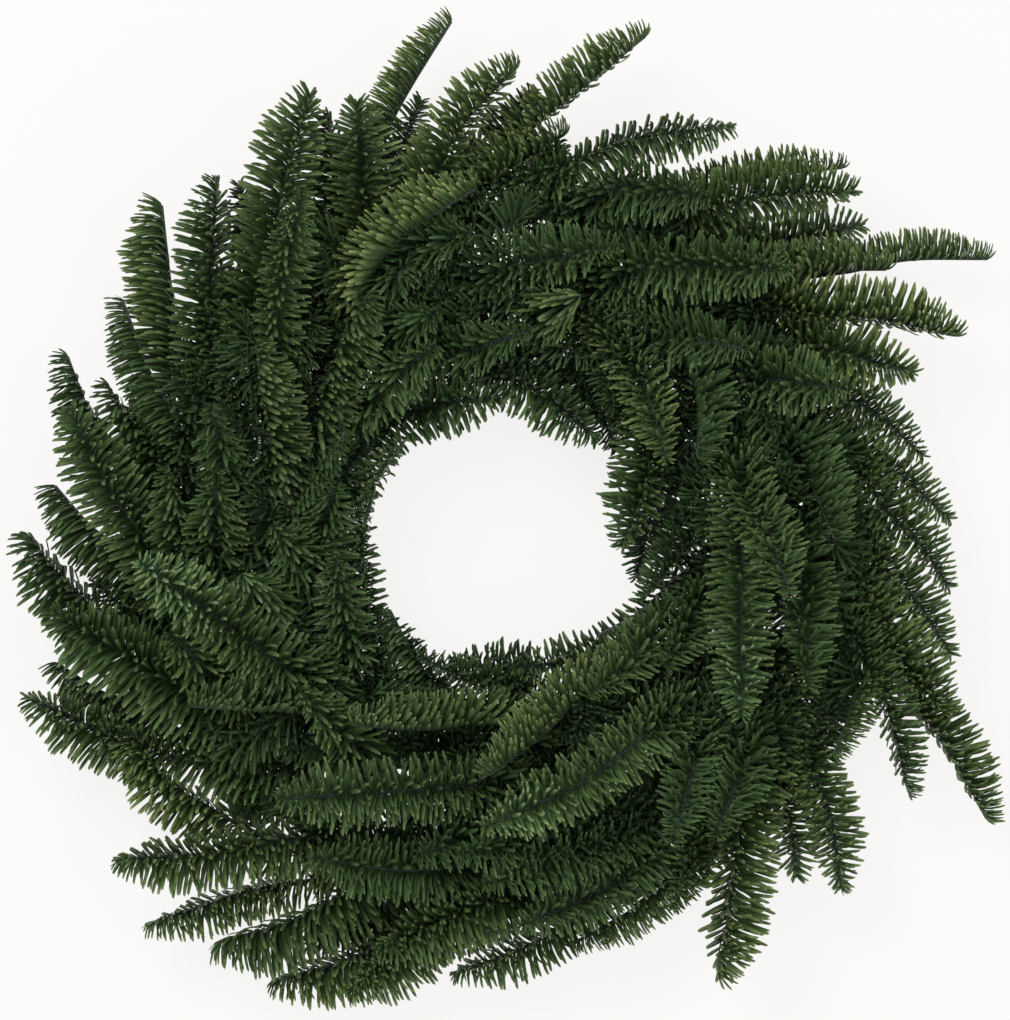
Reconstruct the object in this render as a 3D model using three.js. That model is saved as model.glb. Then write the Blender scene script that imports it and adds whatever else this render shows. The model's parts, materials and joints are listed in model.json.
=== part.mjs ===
// A fresh noble fir wreath, lying on its back.
//
// A steel wire ring carries the cut fir boughs. The bare stem of each bough lies along the ring,
// and one long run of binding wire is wound round the ring and the stems together. Every bough
// leaves the binding between two turns of that wire, forks, and sweeps clockwise to its tips.
//
// Millimetres, +Z up. The binding wire rests on z = 0 and the face of the wreath looks up.

import * as THREE from 'three';

const DEGREE = Math.PI / 180;
const AIR = 0.3; // gap kept between two pieces that touch on the real wreath

// The ring and the binding.
const RING_RADIUS = 150; // to the middle of the ring's wire
const RING_WIRE = 2.5; // radius of the ring's wire
const RING_STEPS = 60;
const RING_SIDES = 6;
const BINDING_WIRE = 0.6; // half the width of the square binding wire
const BINDING_TURNS = 30;
const BINDING_PITCH = (2 * Math.PI) / BINDING_TURNS;

// The boughs. Stems and twigs have three sides, and their radius is measured to the corners.
const STEM = 2; // a cut stem
const TWIG = 1.45; // a shoot where it leaves the binding
const TWIG_END = 1.2; // a shoot at its last needles
const LANES = 5; // stems lie round the ring's wire in five lanes, from the outside to the inside
const LANE_STEP = Math.PI / (LANES - 1);
const LANE_SIDES = [1, 1, 0, 0, -1]; // side shoots fork off outward, either way or inward
const STEM_ANGLE = 14.5 * DEGREE; // length of a stem under the binding, as an angle of the ring
const PAST_WIRE = 1.5 * DEGREE; // a bough starts to leave its lane this far past a turn of wire
const LEAVING = 7 * DEGREE; // and is clear of the binding this much further round
const UNDER_OTHERS = 55; // length of a shoot that others cover, where it shows over the ring
const UNDER_GAIN = 0.7; // that length grows by this much for each mm to either side of the ring
const TOO_FAR_ON = 2; // a place past the wanted one counts as this many times as far away
const TURN_OUT = 0.2; // share of the way to its root in the direction a shoot leaves in
const FORK_ANGLE = 38 * DEGREE; // between a side shoot and the stem that it forks from
const FORK_REACH = 10; // a side shoot runs straight this far
const FORK_LENGTH = 3; // of the part of the stem that a side shoot stands on
const FORK_CLEAR = 7; // from there to the side shoot's own first cross section
const TWIG_ROOM = 5.8; // between the middles of two twigs that lie across each other
const LOWEST_TWIG = 5; // height of a twig's middle over the table, at least
const SETTLING = 80; // rounds of raising and lowering twigs until they lie clear of one another
const BEND_REACH = 7; // how far to either side the direction of a twig is taken
const BEND_SLACK = 1.2; // most that a twig cuts the corner of its route by
const FACE_STEP = (2 * Math.PI) / 3;

// A fork to the left and one to the right: the face of the stem that looks that way, and how far
// the cross sections of the stem and of the side shoot are turned for it.
const FORK_FACES = { left: 2, right: 1 };
const FORK_TWISTS = { left: [FACE_STEP / 2, Math.PI], right: [0, 0] };

// The needles. They stand in whorls of three, and each whorl is turned against the one before.
const NEEDLE = 22; // length
const END_NEEDLE = 15; // length of the needles that close a shoot's tip
const NEEDLE_WIDTH = 0.9; // half the width, near the root
const ROOT_LENGTH = 2; // length of a needle's root along the twig
const LEAN = 50 * DEGREE; // angle between a needle and its twig
const END_LEAN = 30 * DEGREE;
const WHORL_TWIST = 50 * DEGREE;
const WHORL_SPACING = 15; // along the part of a shoot that shows
const HIDDEN_SPACING = 42; // along the part that other boughs cover
const FIRST_WHORL = 28; // from where the shoot leaves the binding
const OWN_TWIG_SHARE = 0.4; // share of a needle, from its root, that is near its own twig

// Where a needle's place is taken it grows shorter, leans further forward or stands aside.
const SHORTER = [1, 0.8, 0.62];
const LEANING = [LEAN, LEAN * 0.7];
const ASIDE = [0, 15 * DEGREE, -15 * DEGREE, 30 * DEGREE, -30 * DEGREE];

// Sizes that follow.
const RING_HEIGHT = 2 * BINDING_WIRE + AIR + RING_WIRE * Math.cos(Math.PI / RING_SIDES);
const LANE_REACH = (2 * STEM + AIR) / (2 * Math.sin(LANE_STEP / 2));
const WRAP = LANE_REACH + STEM + AIR + BINDING_WIRE * Math.SQRT2;
const CLEAR_OF_BINDING = (WRAP + BINDING_WIRE) / Math.cos(LANE_STEP / 2) + AIR;
const LEFT_BINDING = CLEAR_OF_BINDING + STEM;

// The open middle of the wreath, which no needle enters: its centre and half its width and depth.
const HOLE = { x: -2, y: -8, halfX: 53, halfY: 56 };

// The boughs in the order they are bound on, with the lanes each kind lies in. A bough is the kind
// and then its shoots, each as [tip x, tip y, root x, root y, tip height, bow]: the tip, and the
// place where the shoot comes out from under the others, seen from the front, with the middle of
// the ring at 0, 0. The bow is how far the middle of the shoot swings out to its left.
const KIND_LANES = { outer: [0, 1], crown: [2, 3, 1], inner: [4, 3] };
const ROOT_RISE = { outer: 0.72, crown: 0.66, inner: 0.72 }; // height of the root over the tip's
const BOUGHS = [
  ['outer', [88, 300, 21, 247, 48, 0], [139, 243, 33, 217, 58, 7]],
  ['outer', [40, 241, -3, 216, 40, 0]],
  ['outer', [208, 219, 117, 204, 45, 3], [212, 204, 117, 194, 58, 3]],
  ['outer', [217, 184, 153, 171, 42, 0], [234, 157, 165, 153, 50, 2]],
  ['outer', [296, 164, 207, 156, 40, 4], [274, 116, 189, 131, 55, 3]],
  ['outer', [248, 94, 189, 111, 48, 0], [254, 42, 207, 81, 50, 3]],
  ['outer', [271, 4, 219, 45, 42, 3], [269, -37, 231, 12, 50, 3]],
  ['outer', [271, -78, 231, -24, 42, 3], [267, -113, 228, -60, 52, 0]],
  ['outer', [244, -162, 213, -66, 54, 4], [293, -178, 240, -96, 42, 4]],
  ['outer', [203, -219, 186, -144, 46, 4], [195, -139, 218, -87, 60, 0]],
  ['outer', [176, -211, 165, -156, 48, 3], [128, -270, 144, -168, 62, 0]],
  ['outer', [100, -231, 117, -183, 45, 3], [38, -251, 111, -201, 48, 4]],
  ['outer', [-33, -269, 33, -240, 36, 3], [-78, -252, -3, -222, 52, 0]],
  ['outer', [-96, -280, -45, -240, 44, 3], [-142, -273, -63, -247, 36, 3]],
  ['outer', [-176, -249, -105, -225, 48, 3], [-219, -239, -153, -218, 40, 0]],
  ['outer', [-235, -198, -129, -187, 56, 3], [-230, -125, -189, -162, 45, 3]],
  ['outer', [-290, -100, -231, -129, 42, 0], [-275, -78, -225, -105, 36, 3]],
  ['outer', [-272, -49, -189, -99, 54, 0], [-290, -1, -255, -42, 40, 2]],
  ['outer', [-275, 30, -237, -9, 38, 2], [-262, 73, -213, -12, 55, 3]],
  ['outer', [-266, 109, -246, 63, 38, 2], [-242, 91, -213, 48, 46, 2]],
  ['outer', [-232, 143, -198, 66, 52, 3], [-207, 200, -200, 126, 48, 0]],
  ['outer', [-173, 212, -180, 126, 52, 0], [-116, 264, -142, 162, 60, 3]],
  ['outer', [-107, 253, -102, 192, 40, 0], [-89, 259, -83, 171, 52, 0]],
  ['outer', [-30, 311, -81, 222, 40, 2], [9, 281, -44, 215, 55, 4]],
  ['inner', [70, -12, 87, 54, 56, 3], [81, -45, 117, 12, 50, 3]],
  ['inner', [52, -66, 96, -36, 56, 3], [2, -83, 63, -72, 50, 3]],
  ['inner', [-56, -75, 9, -96, 56, 3], [-72, -44, -39, -96, 50, 3]],
  ['inner', [-86, 6, -78, -72, 56, 3], [-77, 31, -93, -30, 62, 0]],
  ['inner', [-58, 56, -93, 12, 64, 0], [0, 81, -72, 63, 50, 5]],
  ['inner', [57, 54, -6, 96, 56, 4], [26, 89, -3, 114, 50, 0]],
  ['inner', [-92, 63, -132, 0, 86, 0]],
  ['crown', [70, 169, -3, 157, 84, 0], [46, 140, 33, 132, 100, 0]],
  ['crown', [170, 155, 81, 157, 92, 2], [124, 198, 63, 204, 78, 2]],
  ['crown', [98, 39, 69, 111, 82, 4], [115, 39, 108, 99, 90, 5]],
  ['crown', [148, 107, 87, 117, 88, 2], [208, 83, 147, 93, 78, 0]],
  ['crown', [170, -42, 144, 24, 100, 3], [198, -9, 174, 54, 80, 0]],
  ['crown', [140, -113, 141, 18, 98, 0], [180, -98, 177, -24, 85, 0]],
  ['crown', [47, -101, 87, -66, 85, 2], [94, -85, 117, -42, 75, 0]],
  ['crown', [124, -185, 144, -138, 85, 0], [99, -189, 114, -126, 88, 2]],
  ['crown', [-14, -177, 87, -120, 100, 6], [-13, -148, 45, -99, 95, 3]],
  ['crown', [6, -237, 69, -210, 70, 2], [-15, -211, 51, -192, 80, 0]],
  ['crown', [-30, -192, 33, -183, 84, 0], [-55, -196, -9, -171, 78, 2]],
  ['crown', [-136, -159, -15, -153, 95, 0], [-117, -195, -39, -204, 72, 3]],
  ['crown', [-95, -115, -15, -115, 100, 3], [-80, -95, -51, -114, 80, 0]],
  ['crown', [-191, -104, -126, -109, 88, 0], [-124, -93, -90, -129, 95, 0]],
  ['crown', [-218, -17, -132, -81, 105, 0], [-202, -59, -162, -96, 82, 2]],
  ['crown', [-102, -12, -93, -72, 80, 0], [-100, 31, -111, -18, 80, 2]],
  ['crown', [-157, -24, -146, -42, 100, 0], [-140, 4, -116, -24, 88, 0]],
  ['crown', [-201, 40, -194, -18, 72, 0], [-172, 37, -174, -15, 80, 0]],
  ['crown', [-148, 114, -138, 48, 92, 0], [-176, 77, -166, 33, 86, 0]],
  ['crown', [-120, 204, -138, 111, 92, 3], [-80, 144, -112, 63, 84, 3]],
  ['crown', [-38, 112, -81, 78, 85, 2], [-36, 132, -69, 120, 78, 0]],
  ['crown', [-14, 205, -72, 165, 98, 3], [-16, 177, -48, 171, 85, 0]],
  ['crown', [18, 120, -21, 108, 80, 0]],
];

// A point of the wreath from its clock angle, which is 0 at the top and grows clockwise.
function around(angle, radius, height) {
  return new THREE.Vector3(radius * Math.sin(angle), radius * Math.cos(angle), height);
}

// A point beside the ring's wire: how far round the ring, in which direction seen along the wire
// (0 is outward, a quarter turn is up), and how far from the wire's middle.
function besideRing(angle, direction, reach) {
  const radius = RING_RADIUS + reach * Math.cos(direction);
  return around(angle, radius, RING_HEIGHT + reach * Math.sin(direction));
}

// A closed body from its corners and the triangles between them.
function bodyOf(corners, triangles) {
  const geometry = new THREE.BufferGeometry();
  const positions = corners.flatMap((corner) => corner.toArray());
  geometry.setAttribute('position', new THREE.Float32BufferAttribute(positions, 3));
  geometry.setIndex(triangles);
  return geometry;
}

// A closed body through cross sections that each have the same number of corners.
function loft(sections) {
  const sides = sections[0].length;
  const triangles = [];
  for (let i = 0; i + 1 < sections.length; i++) {
    for (let j = 0; j < sides; j++) {
      const a = i * sides + j;
      const b = i * sides + ((j + 1) % sides);
      triangles.push(a, b, b + sides, a, b + sides, a + sides);
    }
  }
  const last = (sections.length - 1) * sides;
  for (let j = 1; j + 1 < sides; j++) {
    triangles.push(0, j + 1, j, last, last + j, last + j + 1);
  }
  return bodyOf(sections.flat(), triangles);
}

// --- The ring and the binding -------------------------------------------------------------------

function makeRing() {
  const geometry = new THREE.TorusGeometry(RING_RADIUS, RING_WIRE, RING_SIDES, RING_STEPS);
  geometry.translate(0, 0, RING_HEIGHT);
  return geometry;
}

// One turn of binding wire has six corners: two below, where it lies flat on z = 0, and four
// over the stems. The wire moves on by a sixth of the pitch from each corner to the next.
function makeBinding() {
  const below = RING_HEIGHT - BINDING_WIRE;
  const corner = WRAP / Math.cos(LANE_STEP / 2);
  const turn = [
    { out: -WRAP, up: -below, mitre: new THREE.Vector2(-1, -1) },
    { out: WRAP, up: -below, mitre: new THREE.Vector2(1, -1) },
  ];
  for (let lane = 0; lane + 1 < LANES; lane++) {
    const direction = (lane + 0.5) * LANE_STEP;
    const heading = new THREE.Vector2(Math.cos(direction), Math.sin(direction));
    const mitre = heading.clone().divideScalar(Math.cos(LANE_STEP / 2));
    turn.push({ out: corner * heading.x, up: corner * heading.y, mitre });
  }
  const sections = [];
  for (let i = 0; i < BINDING_TURNS * turn.length; i++) {
    const { out, up, mitre } = turn[i % turn.length];
    const angle = (BINDING_PITCH * i) / turn.length;
    const along = new THREE.Vector3(Math.cos(angle), -Math.sin(angle), 0);
    const corners = [[-1, -1], [-1, 1], [1, 1], [1, -1]].map(([outward, forward]) => {
      const radius = RING_RADIUS + out + outward * mitre.x * BINDING_WIRE;
      const height = RING_HEIGHT + up + outward * mitre.y * BINDING_WIRE;
      return around(angle, radius, height).addScaledVector(along, forward * BINDING_WIRE);
    });
    sections.push(corners);
  }
  return loft(sections);
}

// --- The routes of the twigs --------------------------------------------------------------------

// Where the binding wire passes over a lane, in sixths of a turn past the turn's start.
function leavingAngle(lane, turn) {
  return BINDING_PITCH * (turn + (lane + 1.5) / (LANES + 1)) + PAST_WIRE;
}

// The free place nearest to where a bough wants to leave the binding, and rather before that
// than past it. Two boughs in one lane leave it at least two turns of wire apart, so that their
// stems don't meet.
function takeSeat(kind, wanted, taken) {
  let best = null;
  for (const lane of KIND_LANES[kind]) {
    for (let turn = 0; turn < BINDING_TURNS; turn++) {
      const near = [-1, 0, 1].map((step) => (turn + step + BINDING_TURNS) % BINDING_TURNS);
      if (near.some((other) => taken.has(`${lane} ${other}`))) continue;
      const turned = leavingAngle(lane, turn) - wanted;
      const past = Math.atan2(Math.sin(turned), Math.cos(turned));
      const cost = past > 0 ? past * TOO_FAR_ON : -past;
      if (!best || cost < best.cost - 1e-6) best = { lane, turn, cost };
    }
  }
  taken.add(`${best.lane} ${best.turn}`);
  return best;
}

// The angle at which a bough leaves the binding, for a root that shows at the given place.
function wantedAngle(root) {
  const radius = Math.hypot(root.x, root.y);
  const lead = UNDER_OTHERS + UNDER_GAIN * Math.abs(radius - RING_RADIUS);
  return Math.atan2(root.x, root.y) - (2 * lead) / (radius + RING_RADIUS);
}

// A smooth curve between two points with a given direction at each end, as the points inside it.
function easeBetween(start, startWay, end, endWay) {
  const reach = start.distanceTo(end);
  return [1 / 3, 2 / 3].map((u) => {
    const point = start.clone().multiplyScalar(2 * u ** 3 - 3 * u ** 2 + 1);
    point.addScaledVector(end, 3 * u ** 2 - 2 * u ** 3);
    point.addScaledVector(startWay, reach * (u ** 3 - 2 * u ** 2 + u));
    return point.addScaledVector(endWay, reach * (u ** 3 - u ** 2));
  });
}

// The route of each shoot: the fixed points under the binding, then the points that may be
// raised or lowered, of which the last three are the part that shows.
function layRoutes() {
  const routes = [];
  const taken = new Set();
  BOUGHS.forEach(([kind, ...shoots], bough) => {
    const [root, sideRoot] = shoots.map(([, , x, y]) => new THREE.Vector3(x, y, 0));
    const { lane, turn } = takeSeat(kind, wantedAngle(root), taken);
    const leaves = leavingAngle(lane, turn);
    const direction = lane * LANE_STEP;
    const stem = [1, 0.5, 0].map((k) => {
      return besideRing(leaves - k * STEM_ANGLE, direction, LANE_REACH);
    });
    const out = besideRing(leaves + LEAVING, direction, LEFT_BINDING + AIR);
    const leaving = out.clone().sub(stem[2]).normalize();
    const first = new THREE.Vector3(root.x, root.y, shoots[0][4] * ROOT_RISE[kind]);
    leaving.lerp(first.sub(out).normalize(), TURN_OUT).normalize();
    const aside = new THREE.Vector3(-leaving.y, leaving.x, 0).normalize();
    const across = sideRoot ? aside.dot(sideRoot.clone().sub(root)) : 1;
    const side = LANE_SIDES[lane] || Math.sign(across);
    shoots.forEach(([tipX, tipY, rootX, rootY, height, bow], k) => {
      const tip = new THREE.Vector3(tipX, tipY, height);
      const shows = new THREE.Vector3(rootX, rootY, height * ROOT_RISE[kind]);
      const way = tip.clone().sub(shows).normalize();
      const left = new THREE.Vector3(-way.y, way.x, 0).normalize();
      const end = tip.clone().addScaledVector(way, -END_NEEDLE);
      const middle = shows.clone().lerp(end, 0.5).addScaledVector(left, bow);
      const start = leaving.clone().multiplyScalar(Math.cos(k * FORK_ANGLE));
      start.addScaledVector(aside, side * Math.sin(k * FORK_ANGLE));
      const forked = out.clone().addScaledVector(start, k * FORK_REACH);
      const free = [...easeBetween(forked, start, shows, way), shows, middle, end];
      const fixed = k ? [out, forked] : [...stem, out];
      const points = [...fixed, ...free].map((point) => point.clone());
      const twist = FORK_TWISTS[side > 0 ? 'left' : 'right'][k];
      routes.push({ bough, side, isSide: k > 0, twist, points, fixed: fixed.length });
    });
  });
  return routes;
}

// Where two straight stretches come close, seen from above: how far along each, and how close.
function meetings(a0, a1, b0, b1) {
  const found = [];
  const ax = a1.x - a0.x;
  const ay = a1.y - a0.y;
  const bx = b1.x - b0.x;
  const by = b1.y - b0.y;
  const cross = ax * by - ay * bx;
  if (Math.abs(cross) > 1e-9) {
    const s = ((b0.x - a0.x) * by - (b0.y - a0.y) * bx) / cross;
    const t = ((b0.x - a0.x) * ay - (b0.y - a0.y) * ax) / cross;
    if (s >= 0 && s <= 1 && t >= 0 && t <= 1) found.push([s, t, 0]);
  }
  const nearest = (p, from, dx, dy) => {
    const k = ((p.x - from.x) * dx + (p.y - from.y) * dy) / (dx * dx + dy * dy);
    const clamped = Math.min(1, Math.max(0, k));
    return [clamped, Math.hypot(p.x - from.x - clamped * dx, p.y - from.y - clamped * dy)];
  };
  [a0, a1].forEach((p, s) => {
    const [t, distance] = nearest(p, b0, bx, by);
    found.push([s, t, distance]);
  });
  [b0, b1].forEach((p, t) => {
    const [s, distance] = nearest(p, a0, ax, ay);
    found.push([s, t, distance]);
  });
  return found.filter(([, , distance]) => distance < TWIG_ROOM);
}

// How far the first of two routes passes over the second where they meet.
function passesOver({ i, j, m, n, s, t }, routes) {
  const a = routes[i].points;
  const b = routes[j].points;
  return a[m].z + s * (a[m + 1].z - a[m].z) - b[n].z - t * (b[n + 1].z - b[n].z);
}

// Twigs that cross lie on one another: of two shoots, the one that is higher where they meet is
// raised and the other one is lowered, until there is room between them.
function settle(routes) {
  const contacts = [];
  for (let i = 0; i < routes.length; i++) {
    for (let j = i + 1; j < routes.length; j++) {
      const a = routes[i].points;
      const b = routes[j].points;
      const forked = routes[i].bough === routes[j].bough;
      const shared = [];
      for (let m = forked ? routes[i].fixed - 1 : 0; m + 1 < a.length; m++) {
        for (let n = forked ? routes[j].fixed - 1 : 0; n + 1 < b.length; n++) {
          for (const [s, t, distance] of meetings(a[m], a[m + 1], b[n], b[n + 1])) {
            shared.push({ i, j, m, n, s, t, room: Math.sqrt(TWIG_ROOM ** 2 - distance ** 2) });
          }
        }
      }
      const over = shared.reduce((sum, contact) => sum + passesOver(contact, routes), 0);
      contacts.push(...shared.map((contact) => ({ ...contact, sign: over >= 0 ? 1 : -1 })));
    }
  }
  const move = (route, index, share, by) => {
    if (index >= route.fixed) route.points[index].z += share * by;
    if (index + 1 >= route.fixed) route.points[index + 1].z += (1 - share) * by;
  };
  for (let round = 0; round < SETTLING; round++) {
    for (const contact of contacts) {
      const { i, j, m, n, s, t, room, sign } = contact;
      const short = room - sign * passesOver(contact, routes);
      if (short <= 0) continue;
      move(routes[i], m, 1 - s, (sign * short) / 2);
      move(routes[j], n, 1 - t, (-sign * short) / 2);
    }
    for (const route of routes) {
      for (let k = route.fixed; k < route.points.length; k++) {
        route.points[k].z = Math.max(route.points[k].z, LOWEST_TWIG);
      }
    }
  }
}

// --- Twigs and needles --------------------------------------------------------------------------

// Measures a route, so that a place on it can be given by its distance from the first point.
function measure(route) {
  route.distances = [0];
  for (let i = 1; i < route.points.length; i++) {
    route.distances.push(route.distances[i - 1] + route.points[i].distanceTo(route.points[i - 1]));
  }
  route.length = route.distances.at(-1);
}

function pointAt({ points, distances }, distance) {
  let i = 1;
  while (i < points.length - 1 && distances[i] < distance) i++;
  const along = (distance - distances[i - 1]) / (distances[i] - distances[i - 1]);
  return points[i - 1].clone().lerp(points[i], along);
}

// The direction of a route at a place, and two directions square to it: aside and up.
function frameAt(route, distance) {
  const from = pointAt(route, Math.max(0, distance - BEND_REACH));
  const to = pointAt(route, Math.min(route.length, distance + BEND_REACH));
  const way = to.sub(from).normalize();
  const aside = new THREE.Vector3(0, 0, 1).cross(way).normalize();
  return { way, aside, up: way.clone().cross(aside) };
}

function sideways(frame, angle) {
  return frame.aside.clone().multiplyScalar(Math.cos(angle)).addScaledVector(frame.up, Math.sin(angle));
}

// The three corners of a twig's cross section. Its faces look half way between its corners.
function crossSection(route, { at, radius, twist }) {
  const frame = frameAt(route, at);
  const middle = pointAt(route, at);
  const corners = [0, 1, 2].map((k) => twist + k * FACE_STEP);
  return corners.map((angle) => middle.clone().addScaledVector(sideways(frame, angle), radius));
}

// The places of a shoot's whorls of needles: few where other boughs cover it, evenly spaced where
// it shows, and one at its very end.
function whorlPlaces(route) {
  const leaves = route.distances[route.fixed - 1];
  const shows = route.distances.at(-3);
  const places = [];
  for (let at = leaves + FIRST_WHORL; at < shows - HIDDEN_SPACING / 3; at += HIDDEN_SPACING) {
    places.push(at);
  }
  const count = Math.round((route.length - shows) / WHORL_SPACING);
  for (let k = 0; k <= count; k++) {
    places.push(shows + ((route.length - shows) * k) / count - ROOT_LENGTH / 2);
  }
  return places;
}

// A whorl is a short band of the twig, whose three faces are drawn out into needles. Each whorl is
// turned a little against the one before it.
function layWhorls(route) {
  const places = whorlPlaces(route);
  route.whorls = places.map((at, k) => {
    const radius = TWIG + ((TWIG_END - TWIG) * k) / places.length;
    const twist = route.twist + (k + 1) * WHORL_TWIST;
    return { at, radius, twist, last: k === places.length - 1, tips: [] };
  });
}

// The shortest distance between two straight stretches.
function distanceBetween(p0, p1, q0, q1) {
  const u = p1.clone().sub(p0);
  const v = q1.clone().sub(q0);
  const w = p0.clone().sub(q0);
  const a = u.dot(u);
  const b = u.dot(v);
  const c = v.dot(v);
  const d = u.dot(w);
  const e = v.dot(w);
  const clamp = (k) => Math.min(1, Math.max(0, k));
  const first = clamp((b * e - c * d) / Math.max(a * c - b * b, 1e-9));
  const t = clamp((b * first + e) / c);
  const s = clamp((b * t - d) / a);
  return w.addScaledVector(u, s).addScaledVector(v, -t).length();
}

function insideHole({ x, y }) {
  const margin = NEEDLE_WIDTH + AIR;
  return Math.abs(x - HOLE.x) < HOLE.halfX + margin && Math.abs(y - HOLE.y) < HOLE.halfY + margin;
}

// A needle is clear when it stays off the table, out of the wreath's hole, off the binding and
// away from the twigs and needles of every other shoot.
function isClear({ root, tip, whorl }, own, routes, needles) {
  if (Math.min(root.z, tip.z) < NEEDLE_WIDTH + AIR) return false;
  for (const along of [0, 1 / 3, 2 / 3, 1]) {
    const point = root.clone().lerp(tip, along);
    if (insideHole(point)) return false;
    const fromRing = Math.hypot(Math.hypot(point.x, point.y) - RING_RADIUS, point.z - RING_HEIGHT);
    if (fromRing < CLEAR_OF_BINDING + NEEDLE_WIDTH) return false;
  }
  for (const route of routes) {
    const start = route === own ? root.clone().lerp(tip, OWN_TWIG_SHARE) : root;
    for (let k = 0; k + 1 < route.points.length; k++) {
      const from = route.points[k];
      const to = route.points[k + 1];
      if (from.distanceTo(root) > NEEDLE + from.distanceTo(to) + 2 * STEM) continue;
      const room = NEEDLE_WIDTH + (k < route.fixed ? STEM : TWIG) + AIR + BEND_SLACK;
      if (distanceBetween(start, tip, from, to) < room) return false;
    }
  }
  return needles.every((other) => {
    if (other.whorl === whorl || other.root.distanceTo(root) > 2 * NEEDLE) return true;
    return distanceBetween(root, tip, other.root, other.tip) >= 2 * NEEDLE_WIDTH + AIR;
  });
}

// A needle stands on one face of a whorl. Where no place for it is clear that face stays bare.
function growNeedle(route, whorl, face, routes, needles) {
  const frame = frameAt(route, whorl.at);
  const outward = whorl.twist + (face + 0.5) * FACE_STEP;
  const root = pointAt(route, whorl.at).addScaledVector(sideways(frame, outward), whorl.radius / 2);
  for (const shorter of SHORTER) {
    for (const lean of whorl.last ? [END_LEAN] : LEANING) {
      for (const turned of ASIDE) {
        const heading = frame.way.clone().multiplyScalar(Math.cos(lean));
        heading.addScaledVector(sideways(frame, outward + turned), Math.sin(lean));
        const length = shorter * (whorl.last ? END_NEEDLE : NEEDLE);
        const tip = root.clone().addScaledVector(heading, length);
        const needle = { root, tip, whorl };
        if (!isClear(needle, route, routes, needles)) continue;
        whorl.tips[face] = tip;
        needles.push(needle);
        return;
      }
    }
  }
}

// The tips of the shoots come first, because they give the wreath its outline.
function growNeedles(routes) {
  const needles = [];
  for (const route of routes) {
    const root = route.points.at(-1);
    const tip = root.clone().addScaledVector(frameAt(route, route.length).way, END_NEEDLE);
    const needle = { root, tip, whorl: route.whorls.at(-1) };
    if (!isClear(needle, route, routes, needles)) continue;
    route.endTip = tip;
    needles.push(needle);
  }
  for (const endsFirst of [true, false]) {
    for (const route of routes) {
      for (const whorl of route.whorls.filter(({ last }) => last === endsFirst)) {
        for (const face of [0, 1, 2]) growNeedle(route, whorl, face, routes, needles);
      }
    }
  }
}

// The cross sections of a shoot in order. The stretch between a section and the next one carries
// the needles of a whorl, or the foot of the side shoot on the face that looks its way.
function bandsOf(route, forks) {
  const { distances, fixed, isSide, side, twist, whorls } = route;
  const bands = [];
  if (isSide) {
    bands.push({ at: FORK_CLEAR, radius: TWIG, twist, tips: [] });
  } else {
    const leaves = distances[fixed - 1];
    const fork = forks ? FORK_FACES[side > 0 ? 'left' : 'right'] : null;
    for (const at of distances.slice(0, fixed - 1)) {
      bands.push({ at, radius: STEM, twist, tips: [] });
    }
    bands.push({ at: leaves - FORK_LENGTH / 2, radius: STEM, twist, tips: [], fork });
    bands.push({ at: leaves + FORK_LENGTH / 2, radius: STEM, twist, tips: [] });
  }
  for (const whorl of whorls) {
    bands.push({ ...whorl, at: whorl.at - ROOT_LENGTH / 2 });
    bands.push({ ...whorl, at: whorl.at + ROOT_LENGTH / 2, tips: [] });
  }
  return bands;
}

// A bough as one closed body. The needles are drawn out of the faces of its twigs, and the side
// shoot stands on a face of the stem.
function makeBough([main, side]) {
  const corners = [];
  const triangles = [];
  const addQuad = (a, b, c, d) => triangles.push(a, b, d, b, c, d);
  const drawOut = (outline, tip) => {
    const apex = corners.push(tip) - 1;
    outline.forEach((corner, k) => triangles.push(corner, outline[(k + 1) % outline.length], apex));
  };
  const addShoot = (route, bands) => {
    const sections = bands.map((band) => {
      return crossSection(route, band).map((corner) => corners.push(corner) - 1);
    });
    let foot = null;
    bands.slice(0, -1).forEach(({ tips, fork }, i) => {
      for (const face of [0, 1, 2]) {
        const next = (face + 1) % 3;
        const [near, far] = [sections[i], sections[i + 1]];
        const outline = [near[face], near[next], far[next], far[face]];
        if (face === fork) foot = outline;
        else if (tips[face]) drawOut(outline, tips[face]);
        else addQuad(...outline);
      }
    });
    if (route.endTip) drawOut(sections.at(-1), route.endTip);
    else triangles.push(...sections.at(-1));
    return { start: sections[0], foot };
  };
  const { start, foot } = addShoot(main, bandsOf(main, Boolean(side)));
  triangles.push(start[0], start[2], start[1]);
  if (side) {
    const [back, backNext, frontNext, front] = foot;
    const [c0, c1, c2] = addShoot(side, bandsOf(side, false)).start;
    addQuad(back, backNext, c2, c1);
    addQuad(backNext, frontNext, c0, c2);
    triangles.push(frontNext, front, c0);
    addQuad(front, back, c1, c0);
  }
  return bodyOf(corners, triangles);
}

// --- The wreath ---------------------------------------------------------------------------------

const steel = new THREE.MeshStandardMaterial({ color: 0x5d615e, roughness: 0.45, metalness: 0.9 });
const greenWire = new THREE.MeshStandardMaterial({ color: 0x2e3a2c, roughness: 0.5, metalness: 0.3 });
const needleGreens = { outer: 0x46603a, crown: 0x334c2b, inner: 0x2b4327 };

function addMesh(group, name, geometry, material) {
  const mesh = new THREE.Mesh(geometry, material);
  mesh.name = name;
  group.add(mesh);
}

const routes = layRoutes();
settle(routes);
routes.forEach(measure);
routes.forEach(layWhorls);
growNeedles(routes);

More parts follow.
